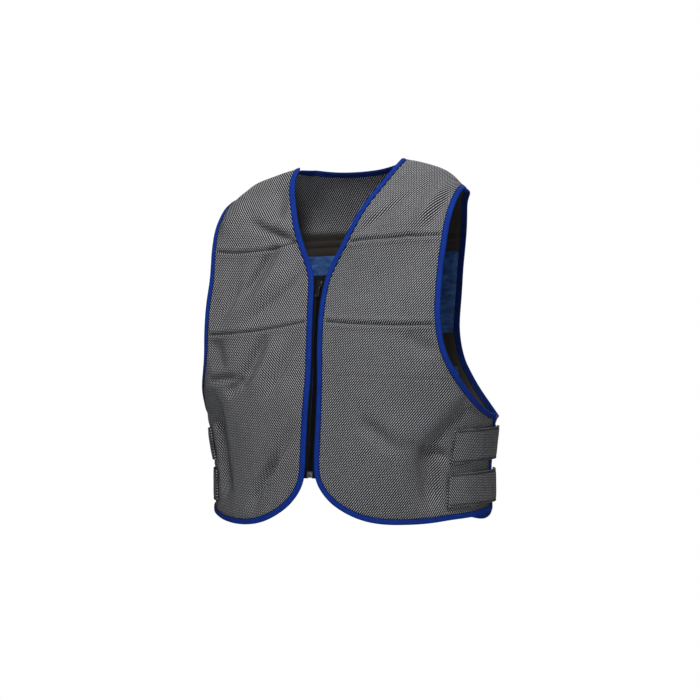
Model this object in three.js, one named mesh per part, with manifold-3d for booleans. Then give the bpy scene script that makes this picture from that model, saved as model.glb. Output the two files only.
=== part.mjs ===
// Cooling vest: quilted spacer-mesh fronts and back with bound edges, two cooling pads inside the
// back, two straps at each side and a centre front zip, in the form that it has when worn.
// Millimetres, +X is the wearer's left, -Y the front, +Z up. The origin lies between the shoulders.
import * as THREE from 'three';
import Module from 'manifold-3d';
import { mergeVertices } from 'three/addons/utils/BufferGeometryUtils.js';

// Body form
const BODY_LENGTH = 540;
const CHEST_HALF_WIDTH = 254;
const FRONT_DEPTH = 176;
const BACK_DEPTH = 97;
const SWAY = 7;
const TILT = 0.03;
const SWAY_REACH = 324;

// Openings
const NECK_HALF_WIDTH = 88;
const NECK_DEPTH = 184;
const BACK_NECK_DROP = 17;
const BACK_NECK_POWER = 2.2;
const SHOULDER_HALF_WIDTH = 195;
const ARMHOLE_DEPTH = 338;
const BACK_ARMHOLE_DEPTH = 349;
const FRONT_SIDE_ANGLE = 91.5;
const BACK_SIDE_ANGLE = 72;
const BACK_FLAP_DROP = 6.5;
const BACK_CURVE_SHARE = 0.62;
const CORNER_ACROSS = 110;
const CORNER_RISE = 81;
const CORNER_POWER = 1.8;
const STRAIGHT_EDGE_SHARE = 0.6;

// Cloth
const MESH_WALL = 3.2;
const PRESSED_WALL = 1.8;
const FLAP_INSET = 5.2;
const FLAP_BLEND = { from: 97, to: 114 };
const SEAM_GAP = 0.4;

// Binding tape, folded over the edges
const BINDING_WIDTH = 10;
const TAPE_WALL = 0.8;
const TAPE_PLAY = 0.55;
const FOLD_PLAY = 0.9;
const BOUND_STRIP = 12.6;
const MITRE_GAP = 0.25;

// Cooling pads
const PAD_HALF_WIDTH = 132;
const PAD_HEIGHT = 130;
const PAD_RIM = 1;
const PAD_CROWN = 4.5;
const PAD_FULLNESS = 0.35;
const PADS = [
  { name: 'upper', down: 0.241, play: 0.45 },
  { name: 'lower', down: 0.576, play: 1.05 },
];

// Side straps
const STRAP_HEIGHT = 49;
const STRAP_WALL = 2.2;
const STRAP_PLAY = 0.45;
const STRAP_FRONT_ANGLE = 56.5;
const STRAP_BACK_ANGLE = 118;
const STRAP_TOPS = [{ name: 'upper', down: 0.7426 }, { name: 'lower', down: 0.861 }];

// Zip
const ZIP_GAP = 8;
const ZIP_TOP = 0.32;
const ZIP_BOTTOM = 0.868;
const TAPE_REACH = 19;
const ZIP_TAPE_WALL = 1;
const CHAIN_HALF_WIDTH = 2.75;
const CHAIN_WALL = 2.6;
const ZIP_PLAY = 0.35;
const SLIDER_DROP = 2;
const CHAIN_ENTRY = 1;
const BOX_LIFT = 1;
const SLIDER_LENGTH = 12;
const SLIDER_HALF_WIDTH = 4.6;
const POST_HALF_WIDTH = 1.4;
const PLATE_WALL = 1.2;
const PULL_LENGTH = 22;
const PULL_HALF_WIDTH = 2.6;
const PULL_WALL = 1.2;
const BOX_HEIGHT = 9;
const BOX_OVERHANG = 1.6;

// Rings of the body form, from the neck down. Widths and depths are shares of the sizes above, and
// the last two columns say how square the front and the back of the ring are.
const RINGS = [
  { down: -0.0300, width: 0.210, front: 0.060, back: 0.16, squareFront: 2.1, squareBack: 2.1 },
  { down: -0.0148, width: 0.362, front: 0.097, back: 0.31, squareFront: 2.1, squareBack: 2.1 },
  { down: 0.026, width: 0.627, front: 0.176, back: 0.515, squareFront: 2.3, squareBack: 2.3 },
  { down: 0.063, width: 0.727, front: 0.278, back: 0.66, squareFront: 2.6, squareBack: 2.6 },
  { down: 0.111, width: 0.830, front: 0.392, back: 0.80, squareFront: 3.0, squareBack: 3.0 },
  { down: 0.176, width: 0.917, front: 0.494, back: 0.89, squareFront: 3.5, squareBack: 3.2 },
  { down: 0.278, width: 0.980, front: 0.551, back: 0.98, squareFront: 4.0, squareBack: 3.2 },
  { down: 0.407, width: 1.000, front: 0.693, back: 1.00, squareFront: 4.0, squareBack: 3.2 },
  { down: 0.556, width: 0.969, front: 0.806, back: 0.97, squareFront: 3.3, squareBack: 3.2 },
  { down: 0.722, width: 0.924, front: 0.898, back: 0.93, squareFront: 2.4, squareBack: 3.0 },
  { down: 0.870, width: 0.903, front: 0.960, back: 0.98, squareFront: 2.0, squareBack: 2.6 },
  { down: 1.037, width: 0.893, front: 1.000, back: 1.07, squareFront: 1.9, squareBack: 2.4 },
];

// Neckline from the shoulder down the V, as shares of its depth and of its half width
const NECKLINE = [
  { down: 0, out: 1 },
  { down: 0.16, out: 0.856 },
  { down: 0.377, out: 0.60 },
  { down: 0.648, out: 0.344 },
  { down: 0.919, out: 0.056 },
  { down: 1, out: 0 },
];

// Half gap between the front edges, as a share of its width at the top of the zip
const FRONT_EDGE = [
  { down: 0.324, gap: 1 },
  { down: 0.38, gap: 0.75 },
  { down: 0.46, gap: 0.54 },
  { down: 0.52, gap: 0.54 },
  { down: 0.62, gap: 0.70 },
  { down: 0.70, gap: 0.85 },
  { down: 1, gap: 0.85 },
];

// Armhole edges, as shares of the armhole's depth and of the form's half width at that height
const FRONT_ARMHOLE = [
  { down: 0, out: 1 },
  { down: 0.05, out: 0.929 },
  { down: 0.11, out: 0.869 },
  { down: 0.228, out: 0.805 },
  { down: 0.376, out: 0.767 },
  { down: 0.524, out: 0.762 },
  { down: 0.672, out: 0.79 },
  { down: 0.79, out: 0.851 },
  { down: 0.908, out: 0.939 },
  { down: 0.973, out: 0.985 },
  { down: 1, out: 1 },
];
const BACK_ARMHOLE = [
  { down: 0, out: 1 },
  { down: 0.05, out: 0.834 },
  { down: 0.194, out: 0.71 },
  { down: 0.366, out: 0.624 },
  { down: 0.567, out: 0.577 },
  { down: 0.71, out: 0.621 },
  { down: 0.853, out: 0.751 },
  { down: 0.968, out: 0.93 },
  { down: 1, out: 1 },
];

// Hems, as shares of the body length by the angle round the body from the centre front
const FRONT_HEM = [
  { angle: 20, left: 0.9915, right: 0.998 },
  { angle: 35, left: 0.9945, right: 1.0075 },
  { angle: 47, left: 0.9945, right: 1.004 },
  { angle: 58, left: 0.987, right: 0.995 },
  { angle: 70, left: 0.985, right: 0.988 },
  { angle: 92, left: 0.975, right: 0.976 },
];
const BACK_HEM = [
  { angle: 70, down: 0.981 },
  { angle: 84, down: 1.002 },
  { angle: 100, down: 0.990 },
  { angle: 120, down: 0.960 },
  { angle: 140, down: 0.922 },
  { angle: 160, down: 0.880 },
  { angle: 180, down: 0.863 },
];

// Quilting seams, as shares of the body length at the centre edge and at the armhole, with the sag
// between them, on the left and the right front
const SEAMS = [
  { left: { centre: 0.207, arm: 0.213, sag: 0 }, right: { centre: 0.203, arm: 0.228, sag: 0.016 } },
  { left: { centre: 0.439, arm: 0.454, sag: 0.004 }, right: { centre: 0.437, arm: 0.467, sag: 0.008 } },
  { left: { centre: 0.585, arm: 0.593, sag: 0 }, right: { centre: 0.585, arm: 0.593, sag: 0 } },
];

// Drag folds of the fronts: ends across as shares of the chest's half width and down as shares of
// the body length, width and rise as shares of the chest's half width. A fold with a negative rise
// is a hollow.
const FOLDS = [
  { fromAcross: -0.42, fromDown: 0.235, toAcross: -0.55, toDown: 0.38, width: 0.055, rise: 0.020 },
  { fromAcross: -0.50, fromDown: 0.235, toAcross: -0.66, toDown: 0.36, width: 0.050, rise: -0.016 },
  { fromAcross: -0.26, fromDown: 0.245, toAcross: -0.44, toDown: 0.40, width: 0.055, rise: -0.014 },
  { fromAcross: -0.45, fromDown: 0.48, toAcross: -0.86, toDown: 0.64, width: 0.060, rise: 0.020 },
  { fromAcross: -0.30, fromDown: 0.55, toAcross: -0.80, toDown: 0.74, width: 0.070, rise: -0.016 },
  { fromAcross: 0.48, fromDown: 0.035, toAcross: 0.25, toDown: 0.18, width: 0.050, rise: -0.018 },
  { fromAcross: 0.60, fromDown: 0.08, toAcross: 0.42, toDown: 0.20, width: 0.060, rise: 0.014 },
  { fromAcross: 0.88, fromDown: 0.685, toAcross: 0.64, toDown: 0.80, width: 0.055, rise: -0.020 },
  { fromAcross: 0.68, fromDown: 0.76, toAcross: 0.70, toDown: 0.95, width: 0.070, rise: -0.022 },
  { fromAcross: 0.50, fromDown: 0.70, toAcross: 0.56, toDown: 0.97, width: 0.090, rise: 0.016 },
];

const RAD = Math.PI / 180;
const SIDE = 90;
const FRONT_COLUMNS = { corner: 3, hem: 8 };
const BACK_COLUMNS = { shoulder: 5, neck: 6 };
const ROWS = { yoke: 6, chest: 6, waist: 4, underarm: 6, side: 6 };
const PAD_FIELDS = { rows: 6, columns: 12 };
const STRAP_FIELDS = { rows: 2, columns: 10 };
const FOLD_FADE = { from: 89, to: 75 };

const smooth = (from, to, x) => {
  const t = Math.min(Math.max((x - from) / (to - from), 0), 1);
  return t * t * (3 - 2 * t);
};
const mix = (a, b, t) => a + (b - a) * t;
const turnFromFront = (angle) => (angle > 180 ? 360 - angle : Math.abs(angle));

// Value of a column at a place between the rows, on a curve that doesn't overshoot them
function read(rows, key, at, column) {
  const last = rows.length - 1;
  const x = Math.min(Math.max(at, rows[0][key]), rows[last][key]);
  let i = 0;
  while (i < last - 1 && x > rows[i + 1][key]) i += 1;
  const slope = (k) => (rows[k + 1][column] - rows[k][column]) / (rows[k + 1][key] - rows[k][key]);
  const tangent = (k) => {
    if (k === 0) return slope(0);
    if (k === last) return slope(last - 1);
    const a = slope(k - 1);
    const b = slope(k);
    return a * b > 0 ? (2 * a * b) / (a + b) : 0;
  };
  const width = rows[i + 1][key] - rows[i][key];
  const t = (x - rows[i][key]) / width;
  const s = 1 - t;
  return rows[i][column] * s * s * (1 + 2 * t) + rows[i + 1][column] * t * t * (1 + 2 * s)
    + width * t * s * (s * tangent(i) - t * tangent(i + 1));
}

// Half widths and depths of the body at a height
function ringAt(height, back) {
  const down = -height / BODY_LENGTH;
  const ring = (column) => read(RINGS, 'down', down, column);
  return {
    width: ring('width') * CHEST_HALF_WIDTH,
    depth: back ? ring('back') * BACK_DEPTH : ring('front') * FRONT_DEPTH,
    square: ring(back ? 'squareBack' : 'squareFront'),
  };
}

// Point of the body at an angle round it from the centre front, positive on the wearer's left
function onBody(angle, height) {
  const across = Math.sin(angle * RAD);
  const ahead = Math.cos(angle * RAD);
  const ring = ringAt(height, ahead < 0);
  const reach = (Math.abs(across) ** ring.square + Math.abs(ahead) ** ring.square) ** (-1 / ring.square);
  return new THREE.Vector3(ring.width * reach * across, -ring.depth * reach * ahead, height);
}

// Angle of the point of the front or the back that lies a share of the half width out
function angleOut(out, height, back) {
  const { square } = ringAt(height, back);
  const share = Math.min(Math.abs(out), 1);
  const turn = Math.atan2(share, (1 - share ** square) ** (1 / square)) / RAD;
  const angle = back ? 180 - turn : turn;
  if (out >= 0) return angle;
  return back ? 360 - angle : -angle;
}
const angleAt = (x, height, back) => angleOut(x / ringAt(height, back).width, height, back);

// Height at which the shoulder ridge is a given width
function ridgeHeight(halfWidth) {
  let high = -RINGS[0].down * BODY_LENGTH;
  let low = -0.4 * BODY_LENGTH;
  for (let i = 0; i < 40; i += 1) {
    const middle = (high + low) / 2;
    if (ringAt(middle, false).width < halfWidth) high = middle;
    else low = middle;
  }
  return low;
}

const NECK_TOP = ridgeHeight(NECK_HALF_WIDTH);
const SHOULDER_TIP = ridgeHeight(SHOULDER_HALF_WIDTH);
const NECK_BASE = NECK_TOP - NECK_DEPTH;
const UNDERARM = SHOULDER_TIP - ARMHOLE_DEPTH;

// Slope of the body across and down, for normals and for moves along it
function slopes(pointOf, angle, height) {
  const turn = 0.4;
  const drop = 0.5;
  const round = pointOf(angle + turn, height).sub(pointOf(angle - turn, height)).divideScalar(2 * turn);
  const up = pointOf(angle, height + drop).sub(pointOf(angle, height - drop)).divideScalar(2 * drop);
  const normal = new THREE.Vector3().crossVectors(round, up).normalize();
  return { round, up, normal };
}

// Rise of the drag folds at a place on the fronts
function foldRise(x, height) {
  let rise = 0;
  for (const fold of FOLDS) {
    const start = new THREE.Vector2(fold.fromAcross * CHEST_HALF_WIDTH, -fold.fromDown * BODY_LENGTH);
    const along = new THREE.Vector2(fold.toAcross * CHEST_HALF_WIDTH, -fold.toDown * BODY_LENGTH).sub(start);
    const from = new THREE.Vector2(x, height).sub(start);
    const share = from.dot(along) / along.lengthSq();
    const aside = from.cross(along) / along.length() / (fold.width * CHEST_HALF_WIDTH);
    const ends = smooth(-0.15, 0.25, share) * (1 - smooth(0.75, 1.15, share));
    rise += fold.rise * CHEST_HALF_WIDTH * ends * Math.exp(-aside * aside);
  }
  return rise;
}

// Place on the worn cloth: the body with its folds, moved in or out, with the lean of the body
function worn(angle, height, out = 0) {
  const ahead = smooth(FOLD_FADE.from, FOLD_FADE.to, Math.abs(angle));
  const point = onBody(angle, height);
  const lift = out + ahead * foldRise(point.x, height);
  if (lift !== 0) point.addScaledVector(slopes(onBody, angle, height).normal, lift);
  const { x, z } = point;
  point.z += TILT * x * Math.min(Math.max(1 + z / BODY_LENGTH, 0), 1);
  point.x -= SWAY * Math.sin(Math.PI * Math.min(Math.max(-z / SWAY_REACH, 0), 1));
  return point;
}

// Nearest node of the body to a point, starting from another node
function settle(point, start) {
  let { angle, height } = start;
  for (let i = 0; i < 8; i += 1) {
    const { round, up } = slopes(onBody, angle, height);
    const rest = point.clone().sub(onBody(angle, height));
    const [a, b, c] = [round.dot(round), round.dot(up), up.dot(up)];
    const [p, q] = [round.dot(rest), up.dot(rest)];
    const scale = a * c - b * b;
    angle += Math.min(Math.max((c * p - b * q) / scale, -8), 8);
    height += (a * q - b * p) / scale;
  }
  return { angle, height };
}

// Nodes spaced evenly along a path, which gives a node for each share of its length
function walk(path, steps, from = 0, to = 1) {
  const fine = 160;
  const nodes = [];
  const lengths = [0];
  for (let i = 0; i <= fine; i += 1) {
    nodes.push(path(mix(from, to, i / fine)));
    if (i === 0) continue;
    const step = onBody(nodes[i].angle, nodes[i].height).distanceTo(onBody(nodes[i - 1].angle, nodes[i - 1].height));
    lengths.push(lengths[i - 1] + step);
  }
  const result = [nodes[0]];
  let k = 1;
  for (let i = 1; i < steps; i += 1) {
    const want = (lengths[fine] * i) / steps;
    while (lengths[k] < want) k += 1;
    const t = (want - lengths[k - 1]) / (lengths[k] - lengths[k - 1]);
    result.push({ angle: mix(nodes[k - 1].angle, nodes[k].angle, t), height: mix(nodes[k - 1].height, nodes[k].height, t) });
  }
  result.push(nodes[fine]);
  return result;
}

// Nodes of an edge moved into the panel by a distance, mitred at its corners. The panel lies to the
// left of the edge as it is walked and seen from outside. Ends on the shoulder ridge stay on it.
function inset(edge, distance) {
  const points = edge.map((node) => onBody(node.angle, node.height));
  return edge.map((node, i) => {
    const { normal } = slopes(onBody, node.angle, node.height);
    const inward = (a, b) => normal.clone().cross(points[b].clone().sub(points[a])).normalize();
    const before = inward(Math.max(i - 1, 0), Math.max(i, 1));
    const after = inward(Math.min(i, edge.length - 2), Math.min(i + 1, edge.length - 1));
    const shift = before.clone().add(after).multiplyScalar(distance / (1 + before.dot(after)));
    const moved = settle(points[i].clone().add(shift), node);
    const atEnd = i === 0 || i === edge.length - 1;
    const onRidge = atEnd && Math.abs(turnFromFront(node.angle) - SIDE) < 1e-6;
    return onRidge ? { angle: node.angle, height: alongRidge(node, distance, shift) } : moved;
  });
}

// Height of the ridge point a distance along the ridge from a node, towards a direction
function alongRidge(node, distance, direction) {
  const start = onBody(node.angle, node.height);
  const way = Math.sign(direction.x) * Math.sign(start.x);
  let reach = 0;
  let height = node.height;
  while (reach < distance) {
    height -= way * 0.02;
    reach = onBody(node.angle, height).distanceTo(start);
  }
  return height;
}

// Fills a field between four rows of nodes, blended across the body or round it
function fill(left, right, top, bottom, across, back) {
  const pair = (node) => (across
    ? [onBody(node.angle, node.height).x, node.height]
    : [node.angle, node.height]);
  const node = ([a, height]) => (across ? { angle: angleAt(a, height, back), height } : { angle: a, height });
  const rows = left.length - 1;
  const columns = top.length - 1;
  const [L, R, T, B] = [left.map(pair), right.map(pair), top.map(pair), bottom.map(pair)];
  const grid = [];
  for (let r = 0; r <= rows; r += 1) {
    const v = r / rows;
    const row = [];
    for (let c = 0; c <= columns; c += 1) {
      const u = c / columns;
      const value = [0, 1].map((k) => mix(L[r][k], R[r][k], u) + mix(T[c][k], B[c][k], v)
        - mix(mix(T[0][k], T[columns][k], u), mix(B[0][k], B[columns][k], u), v));
      if (r === 0) row.push(top[c]);
      else if (r === rows) row.push(bottom[c]);
      else if (c === 0) row.push(left[r]);
      else if (c === columns) row.push(right[r]);
      else row.push(node(value));
    }
    grid.push(row);
  }
  return grid;
}

// Row of nodes between two nodes, round the body, with a sag in the middle
function line(from, to, steps, sag = 0) {
  const row = [];
  for (let i = 0; i <= steps; i += 1) {
    const t = i / steps;
    row.push({ angle: mix(from.angle, to.angle, t), height: mix(from.height, to.height, t) - 4 * sag * t * (1 - t) });
  }
  return row;
}

// Sheet of cloth: places on its middle, with normals, half walls and four-sided faces
class Sheet {
  constructor() {
    this.points = [];
    this.normals = [];
    this.halves = [];
    this.faces = [];
  }

  add(node, half, out = 0) {
    const pointOf = (angle, height) => worn(angle, height, out);
    this.points.push(pointOf(node.angle, node.height));
    this.normals.push(slopes(pointOf, node.angle, node.height).normal);
    this.halves.push(half);
    return this.points.length - 1;
  }

  // Closed wall of the sheet's thickness. Its faces run anticlockwise seen from outside.
  wall() {
    const count = this.points.length;
    const positions = [];
    for (const way of [1, -1]) {
      this.points.forEach((point, i) => {
        positions.push(...point.clone().addScaledVector(this.normals[i], way * this.halves[i]).toArray());
      });
    }
    const index = [];
    const quad = (a, b, c, d) => index.push(a, b, c, a, c, d);
    const edges = new Map();
    for (const [a, b, c, d] of this.faces) {
      quad(a, b, c, d);
      quad(d + count, c + count, b + count, a + count);
      for (const [p, q] of [[a, b], [b, c], [c, d], [d, a]]) {
        if (edges.has(`${q}_${p}`)) edges.delete(`${q}_${p}`);
        else edges.set(`${p}_${q}`, [p, q]);
      }
    }
    for (const [p, q] of edges.values()) quad(q, p, p + count, q + count);
    return solid(positions, index);
  }
}

function solid(positions, index) {
  const geometry = new THREE.BufferGeometry();
  geometry.setAttribute('position', new THREE.Float32BufferAttribute(positions, 3));
  geometry.setIndex(index);
  geometry.computeVertexNormals();
  return geometry;
}

// Outward shift of the cloth: the back's flaps run inside the fronts
function clothOut(node, back) {
  return back ? -FLAP_INSET * (1 - smooth(FLAP_BLEND.from, FLAP_BLEND.to, turnFromFront(node.angle))) : 0;
}

// Panel of mesh: a grid of fields, pressed flat along its seams, with a strip under its bindings.
// The strip joins the nodes of the cut edge to the nodes of the grid's rim, one to one.
function panelSheet(grid, seamRows, strips, back) {
  const sheet = new Sheet();
  const ids = grid.map((row, r) => row.map((node) => {
    const pressed = seamRows.includes(r);
    return sheet.add(node, (pressed ? PRESSED_WALL : MESH_WALL) / 2, clothOut(node, back));
  }));
  for (let r = 0; r < grid.length - 1; r += 1) {
    for (let c = 0; c < grid[r].length - 1; c += 1) {
      sheet.faces.push([ids[r][c], ids[r + 1][c], ids[r + 1][c + 1], ids[r][c + 1]]);
    }
  }
  for (const strip of strips) {
    const rim = strip.rim.map(([r, c]) => ids[r][c]);
    const cut = strip.cut.map((node) => sheet.add(node, PRESSED_WALL / 2, clothOut(node, back)));
    rim.forEach((id) => {
      sheet.halves[id] = PRESSED_WALL / 2;
    });
    strip.places = { sheet, rim, cut };
    for (let i = 0; i < rim.length - 1; i += 1) {
      sheet.faces.push([cut[i], cut[i + 1], rim[i + 1], rim[i]]);
    }
  }
  return sheet;
}

// Tape folded over a strip's cut edge, between two of its nodes. An end inside the strip stands
// back from the mitre.
function bindingWall(strip, from, to) {
  const { sheet, rim, cut } = strip.places;
  const inner = PRESSED_WALL / 2 + TAPE_PLAY;
  const outer = inner + TAPE_WALL;
  const fold = -FOLD_PLAY - TAPE_WALL;
  const leg = BINDING_WIDTH + fold;
  const profile = [
    [leg, outer], [fold, outer], [fold, -outer], [leg, -outer],
    [leg, -inner], [-FOLD_PLAY, -inner], [-FOLD_PLAY, inner], [leg, inner],
  ];
  const strap = BOUND_STRIP + fold;
  const positions = [];
  for (let i = from; i <= to; i += 1) {
    const edge = sheet.points[cut[i]].clone();
    const inward = sheet.points[rim[i]].clone().sub(edge).divideScalar(strap);
    const normal = sheet.normals[cut[i]].clone().add(sheet.normals[rim[i]]);
    normal.addScaledVector(inward, -inward.dot(normal) / inward.lengthSq()).normalize();
    const next = i === from ? i + 1 : i - 1;
    const atMitre = (i === from && from > 0) || (i === to && to < cut.length - 1);
    if (atMitre) edge.add(sheet.points[cut[next]].clone().sub(edge).setLength(MITRE_GAP));
    for (const [along, up] of profile) {
      positions.push(...edge.clone().addScaledVector(inward, along).addScaledVector(normal, up).toArray());
    }
  }
  return sweep(positions, profile.length, to - from + 1);
}

// Closed solid through equal rings of points, which run clockwise seen against the sweep
function sweep(positions, size, rings) {
  const index = [];
  for (let r = 0; r < rings - 1; r += 1) {
    for (let k = 0; k < size; k += 1) {
      const [a, b] = [r * size + k, r * size + ((k + 1) % size)];
      index.push(a, b, b + size, a, b + size, a + size);
    }
  }
  const ring = [];
  for (let k = 0; k < size; k += 1) ring.push([0, 1, 2].map((axis) => positions[k * 3 + axis]));
  const end = (rings - 1) * size;
  for (const [a, b, c] of THREE.ShapeUtils.triangulateShape(flatten(ring), [])) {
    index.push(a, c, b, a + end, b + end, c + end);
  }
  return solid(positions, index);
}

// Ring of points laid in its own plane
function flatten(ring) {
  const points = ring.map((place) => new THREE.Vector3(...place));
  const first = points[1].clone().sub(points[0]).normalize();
  const second = points[3].clone().sub(points[0]);
  second.addScaledVector(first, -second.dot(first)).normalize();
  return points.map((point) => {
    const from = point.clone().sub(points[0]);
    return new THREE.Vector2(from.dot(first), from.dot(second));
  });
}

// Materials
const finish = (color, roughness, metalness = 0) => () => new THREE.MeshStandardMaterial({ color, roughness, metalness });
const spacerMesh = finish(0x4a4a4c, 0.9);
const blueTape = finish(0x1a3a9c, 0.7);
const padCloth = finish(0x1f4a8c, 0.75);
const blackTape = finish(0x101012, 0.8);
const blackMetal = finish(0x1a1a1c, 0.4, 0.6);
const greyMetal = finish(0x8a8c90, 0.35, 0.9);

const vest = new THREE.Group();

function place(name, geometry, material, group = vest) {
  const mesh = new THREE.Mesh(geometry, material());
  mesh.name = name;
  group.add(mesh);
  return mesh;
}

// Finished edges of a front, walked from the shoulder down the neckline, round the hem and up the
// side and the armhole, for the wearer's left. The right front is the same with its own hem.
function frontEdges(hand) {
  const neckline = (height) => {
    if (height >= NECK_BASE) {
      const out = read(NECKLINE, 'down', (NECK_TOP - height) / NECK_DEPTH, 'out');
      return mix(ZIP_GAP, NECK_HALF_WIDTH, out);
    }
    return ZIP_GAP * read(FRONT_EDGE, 'down', -height / BODY_LENGTH, 'gap');
  };
  const hem = (angle) => -BODY_LENGTH * read(FRONT_HEM, 'angle', angle, hand);
  const edgeGap = ZIP_GAP * FRONT_EDGE[FRONT_EDGE.length - 1].gap;
  const cornerX = edgeGap + CORNER_ACROSS;
  const cornerAngle = angleAt(cornerX, hem(FRONT_HEM[1].angle), false);
  const cornerLow = hem(cornerAngle);
  const cornerTop = cornerLow + CORNER_RISE;
  const onCentre = (height) => ({ angle: angleAt(neckline(height), height, false), height });
  const corner = (t) => {
    const turn = t * SIDE * RAD;
    const x = cornerX - CORNER_ACROSS * Math.cos(turn) ** (2 / CORNER_POWER);
    const height = cornerTop - CORNER_RISE * Math.sin(turn) ** (2 / CORNER_POWER);
    return { angle: angleAt(x, height, false), height };
  };
  const armhole = (height) => {
    const out = read(FRONT_ARMHOLE, 'down', (SHOULDER_TIP - height) / ARMHOLE_DEPTH, 'out');
    return { angle: angleOut(out, height, false), height };
  };
  const top = { angle: SIDE, height: NECK_TOP };
  const tip = { angle: SIDE, height: SHOULDER_TIP };
  const underarm = { angle: FRONT_SIDE_ANGLE, height: UNDERARM };
  const side = { angle: FRONT_SIDE_ANGLE, height: hem(FRONT_SIDE_ANGLE) };
  const seams = SEAMS.map((seam) => seam[hand]);
  const centres = [NECK_TOP, ...seams.map((seam) => -seam.centre * BODY_LENGTH), cornerTop];
  const arms = [SHOULDER_TIP, ...seams.map((seam) => -seam.arm * BODY_LENGTH)];
  const down = [ROWS.yoke, ROWS.chest, ROWS.waist];
  const centre = [top];
  const arm = [tip];
  down.forEach((steps, k) => {
    centre.push(...walk((t) => onCentre(mix(centres[k], centres[k + 1], t)), steps).slice(1));
    arm.push(...walk((t) => armhole(mix(arms[k], arms[k + 1], t)), steps).slice(1));
  });
  const lowEdge = (t) => {
    const share = t / STRAIGHT_EDGE_SHARE;
    if (share < 1) return onCentre(mix(centres[3], centres[4], share));
    return corner((t - STRAIGHT_EDGE_SHARE) / (1 - STRAIGHT_EDGE_SHARE) / 2);
  };
  centre.push(...walk(lowEdge, ROWS.underarm + ROWS.side).slice(1));
  const lastArm = (t) => {
    const node = armhole(mix(arms[3], UNDERARM, t));
    return { angle: node.angle * mix(1, FRONT_SIDE_ANGLE / SIDE, t ** 4), height: node.height };
  };
  arm.push(...walk(lastArm, ROWS.underarm).slice(1));
  const sideEdge = (t) => ({ angle: FRONT_SIDE_ANGLE, height: mix(underarm.height, side.height, t) });
  arm.push(...walk(sideEdge, ROWS.side).slice(1));
  const bottom = walk((t) => corner(mix(0.5, 1, t)), FRONT_COLUMNS.corner);
  const hemEdge = (t) => {
    const angle = mix(cornerAngle, FRONT_SIDE_ANGLE, t);
    return { angle, height: hem(angle) };
  };
  bottom.push(...walk(hemEdge, FRONT_COLUMNS.hem).slice(1));
  return { centre, arm, bottom, seams };
}

const FOLD_BACK = FOLD_PLAY + TAPE_WALL;
const INWARD = { cut: FOLD_BACK, rim: BOUND_STRIP };

function frontPanel(hand) {
  const { centre, arm, bottom, seams } = frontEdges(hand);
  const mirror = hand === 'left' ? 1 : -1;
  const edge = [...centre, ...bottom.slice(1), ...arm.slice(0, -1).reverse()];
  const cut = inset(edge, INWARD.cut);
  const rim = inset(edge, INWARD.rim);
  const rows = centre.length;
  const columns = bottom.length;
  const left = rim.slice(0, rows);
  const low = rim.slice(rows - 1, rows + columns - 1);
  const right = rim.slice(rows + columns - 2).reverse();
  const ridge = walk((t) => ({ angle: SIDE, height: mix(left[0].height, right[0].height, t) }), columns - 1);
  const pins = [0, ROWS.yoke, ROWS.yoke + ROWS.chest, ROWS.yoke + ROWS.chest + ROWS.waist, rows - 1];
  const lines = [ridge];
  seams.forEach((seam, k) => {
    const at = pins[k + 1];
    lines.push(line(left[at], right[at], columns - 1, seam.sag * BODY_LENGTH));
  });
  lines.push(low);
  const grid = fieldsBetween(lines, pins, left, right, false);
  const whole = grid.map((row) => row.map((node) => onHand(node, mirror, false)));
  const strip = {
    rim: rimIndex(rows, columns),
    cut: cut.map((node) => onHand(node, mirror, false)),
  };
  if (mirror < 0) {
    whole.forEach((row) => row.reverse());
    strip.rim = strip.rim.map(([r, c]) => [r, columns - 1 - c]).reverse();
    strip.cut.reverse();
  }
  const sheet = panelSheet(whole, pins.slice(1, -1), [strip], false);
  place(`front_panel_${hand}`, sheet.wall(), spacerMesh);
  const corner = rows + columns - 2;
  const turn = mirror > 0 ? corner : strip.cut.length - 1 - corner;
  const parts = mirror > 0 ? ['edge', 'armhole'] : ['armhole', 'edge'];
  place(`front_${parts[0]}_binding_${hand}`, bindingWall(strip, 0, turn), blueTape);
  place(`front_${parts[1]}_binding_${hand}`, bindingWall(strip, turn, strip.cut.length - 1), blueTape);
}

// Fields of a panel, one between each pair of seam lines
function fieldsBetween(lines, pins, left, right, back) {
  const grid = [];
  for (let k = 0; k < pins.length - 1; k += 1) {
    const rowsOf = (edge) => edge.slice(pins[k], pins[k + 1] + 1);
    const field = fill(rowsOf(left), rowsOf(right), lines[k], lines[k + 1], k === 0, back);
    grid.push(...(k === 0 ? field : field.slice(1)));
  }
  return grid;
}

// Node on the wearer's left or right. Ridge nodes stand back for the shoulder seam.
function onHand(node, mirror, back) {
  if (Math.abs(node.angle - SIDE) > 1e-6) return { angle: mirror * node.angle, height: node.height };
  const play = SEAM_GAP / 2 / ringAt(node.height, back).depth / RAD;
  return { angle: mirror * (SIDE + (back ? play : -play)), height: node.height };
}

// Rim of a grid, from its top left corner down, along the bottom and up to its top right corner
function rimIndex(rows, columns) {
  const rim = [];
  for (let r = 0; r < rows; r += 1) rim.push([r, 0]);
  for (let c = 1; c < columns; c += 1) rim.push([rows - 1, c]);
  for (let r = rows - 2; r >= 0; r -= 1) rim.push([r, columns - 1]);
  return rim;
}

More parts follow.
